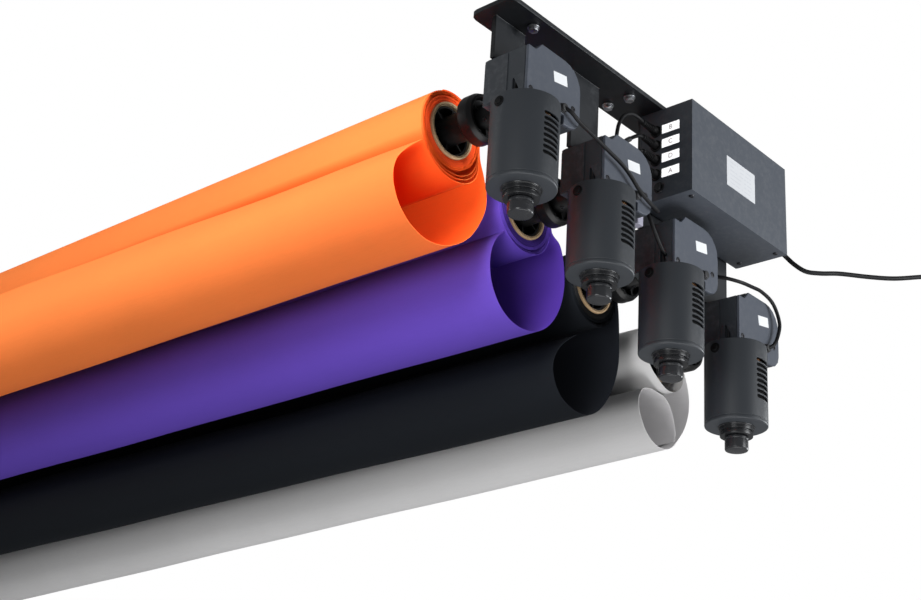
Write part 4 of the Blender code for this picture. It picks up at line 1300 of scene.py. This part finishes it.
def studio_world():
    """White to the camera, dim and slightly blue as a light."""
    world = bpy.data.worlds.new("studio")
    bpy.context.scene.world = world
    world.use_nodes = True
    nodes, links = world.node_tree.nodes, world.node_tree.links
    nodes.clear()
    out = nodes.new("ShaderNodeOutputWorld")
    mixer = nodes.new("ShaderNodeMixShader")
    path = nodes.new("ShaderNodeLightPath")
    links.new(path.outputs["Is Camera Ray"], mixer.inputs[0])
    seen, lit = ((1, 1, 1, 1), 1.0), ((0.97, 0.985, 1.0, 1), 0.22)
    for socket, (colour, strength) in ((2, seen), (1, lit)):
        background = nodes.new("ShaderNodeBackground")
        background.inputs[0].default_value = colour
        background.inputs[1].default_value = strength
        links.new(background.outputs[0], mixer.inputs[socket])
    links.new(mixer.outputs[0], out.inputs[0])


stage_floor()
studio_world()


# ---- lights, in metres -------------------------------------------------------------------
def lamp(name, at, aim, size, watts, colour=(1, 1, 1), on=None, own_shadows=False):
    """An area light. `on` picks the pieces it falls on by name; own_shadows lets only
    those pieces block it."""
    data = bpy.data.lights.new(name, "AREA")
    data.shape, data.size, data.size_y = "RECTANGLE", size[0], size[1]
    data.energy, data.color = watts, colour
    obj = bpy.data.objects.new(name, data)
    bpy.context.scene.collection.objects.link(obj)
    obj.location = at
    obj.rotation_euler = (Vector(aim) - Vector(at)).to_track_quat("-Z", "Y").to_euler()
    if on:
        group = bpy.data.collections.new(name + "_on")
        for target in bpy.data.objects:
            if target.type == "MESH" and on(target.name):
                group.objects.link(target)
        obj.light_linking.receiver_collection = group
        if own_shadows:
            obj.light_linking.blocker_collection = group
    return obj


def on_paper(name):
    return name.startswith(("paper_", "slack_"))


def dark_pair(name):
    """Purple and black paper, and the slack turns numbered 2 or 3 of any unit."""
    return on_paper(name) and ("_2" in name or "_3" in name)


def on_motors(name):
    return name.startswith(("motor_can", "gear_", "front_panel", "recess_web", "tail_",
                            "brush_cap", "lead_boot", "cover_"))


def can_or_knob(name):
    return name.startswith(("motor_can", "tail_knob"))


def paper_4(name):
    return on_paper(name) and "_4" in name


def near_rolls(name):
    rolls = name.startswith(("paper_wound", "paper_turns", "slack_", "core_skin"))
    return rolls and "_4" not in name and name != "core_skin_3"


WARM, COOL = (1.0, 0.985, 0.96), (0.95, 0.975, 1.0)
KEY = dict(at=(-0.8, -2.1, 1.1), aim=(-0.6, 0.0, -0.15), size=(1.8, 1.2), colour=WARM)
SIDE = dict(at=(1.95, 0.95, -0.25), aim=(0.0, 0.05, -0.15), size=(1.2, 1.4), colour=COOL)

lamp("key_upper_front", watts=48.0, on=lambda name: on_paper(name) and not dark_pair(name), **KEY)
lamp("key_dark_pair", watts=13.0, on=dark_pair, **KEY)
lamp("near_dark_pair", at=(0.10, -0.62, -0.36), aim=(-0.14, -0.07, -0.20), size=(0.25, 0.25),
     watts=2.3, on=dark_pair)
lamp("near_front", at=(0.10, -1.15, 0.25), aim=(-0.15, -0.1, -0.15), size=(0.7, 0.7), watts=17.0,
     colour=(1.0, 0.99, 0.97), on=lambda name: on_paper(name) and "_4" not in name)
lamp("under_first", at=(-0.45, -1.35, -0.95), aim=(-0.45, -0.15, -0.15), size=(0.7, 0.5),
     watts=5.0, colour=(1.0, 0.99, 0.98), on=lambda name: name == "paper_sheet_1")
lamp("tag_light", at=(-0.2, -1.3, -0.2), aim=(0.035, -0.02, -0.053), size=(0.3, 0.3), watts=20.0,
     on=lambda name: name.startswith("socket_label_"), own_shadows=True)
lamp("roll_ends", at=(1.5, -0.25, -0.05), aim=(-0.3, -0.05, -0.15), size=(0.5, 0.5),
     watts=105.0, on=near_rolls)
lamp("motors_front", at=(0.6, -2.1, -0.6), aim=(0.0, 0.0, -0.2), size=(1.0, 1.2), watts=19.0,
     colour=(0.97, 0.985, 1.0), on=on_motors)
lamp("front_left", at=(-2.2, -1.4, 0.2), aim=(0.0, 0.0, -0.15), size=(0.8, 1.2), watts=9.0,
     colour=(1.0, 0.99, 0.98))
lamp("side_right", watts=46.0, on=lambda name: not on_paper(name) and not can_or_knob(name),
     **SIDE)
lamp("side_cans", watts=24.0, on=can_or_knob, **SIDE)
lamp("rim_cans", at=(0.75, 2.2, -0.35), aim=(0.0, 0.0, -0.2), size=(0.9, 1.2), watts=30.0,
     colour=COOL, on=can_or_knob, own_shadows=True)
lamp("floor_bounce", at=(0.2, 0.1, -1.9), aim=(-0.2, 0.0, -0.2), size=(2.2, 1.2), watts=22.0,
     on=lambda name: name not in ("drive_bracket", "idle_bracket") and not paper_4(name))
lamp("low_front", at=(0.0, -0.12, -1.9), aim=(-0.4, 0.15, -0.3), size=(0.9, 0.9), watts=17.0,
     on=paper_4)
lamp("low_near", at=(0.45, -1.25, -0.75), aim=(-0.25, 0.0, -0.2), size=(0.6, 0.6), watts=3.6,
     on=dark_pair)
# a small lamp at the mouth of each loop, shining along it
for k, watts in per_unit(0.66, 0.11, 0.4, 0.26).items():
    y, z = LOOP_MIDDLE[k]
    mouth = lamp(f"loop_mouth_{k}", at=(0.05, y * MM, z * MM),
                 aim=(-0.6, (y + 10.0) * MM, z * MM), size=(0.03, 0.03), watts=watts,
                 on=lambda name: name == f"paper_sheet_{k}", own_shadows=True)
    mouth.visible_camera = False

# ---- camera, in metres ----------------------------------------------------------------------
CAMERA_AT = (0.7628045, -1.0370051, -0.7829629)
RIGHT = (0.7479516963, 0.6608377860, 0.0621424218)
UP = (0.2213035313, -0.3365468346, 0.9152928357)
AHEAD = (-0.6257739265, 0.6708424917, 0.3979665115)
cam = bpy.data.cameras.new("camera")
camera = bpy.data.objects.new("camera", cam)
bpy.context.scene.collection.objects.link(camera)
rows = [[RIGHT[r], UP[r], -AHEAD[r], CAMERA_AT[r]] for r in range(3)]
camera.matrix_world = Matrix(rows + [[0, 0, 0, 1]])
cam.sensor_fit, cam.sensor_width, cam.lens = "HORIZONTAL", 36.0, 58.39
cam.clip_start, cam.clip_end = 0.05, 50.0
bpy.context.scene.camera = camera
bpy.context.scene.view_settings.view_transform = "Standard"
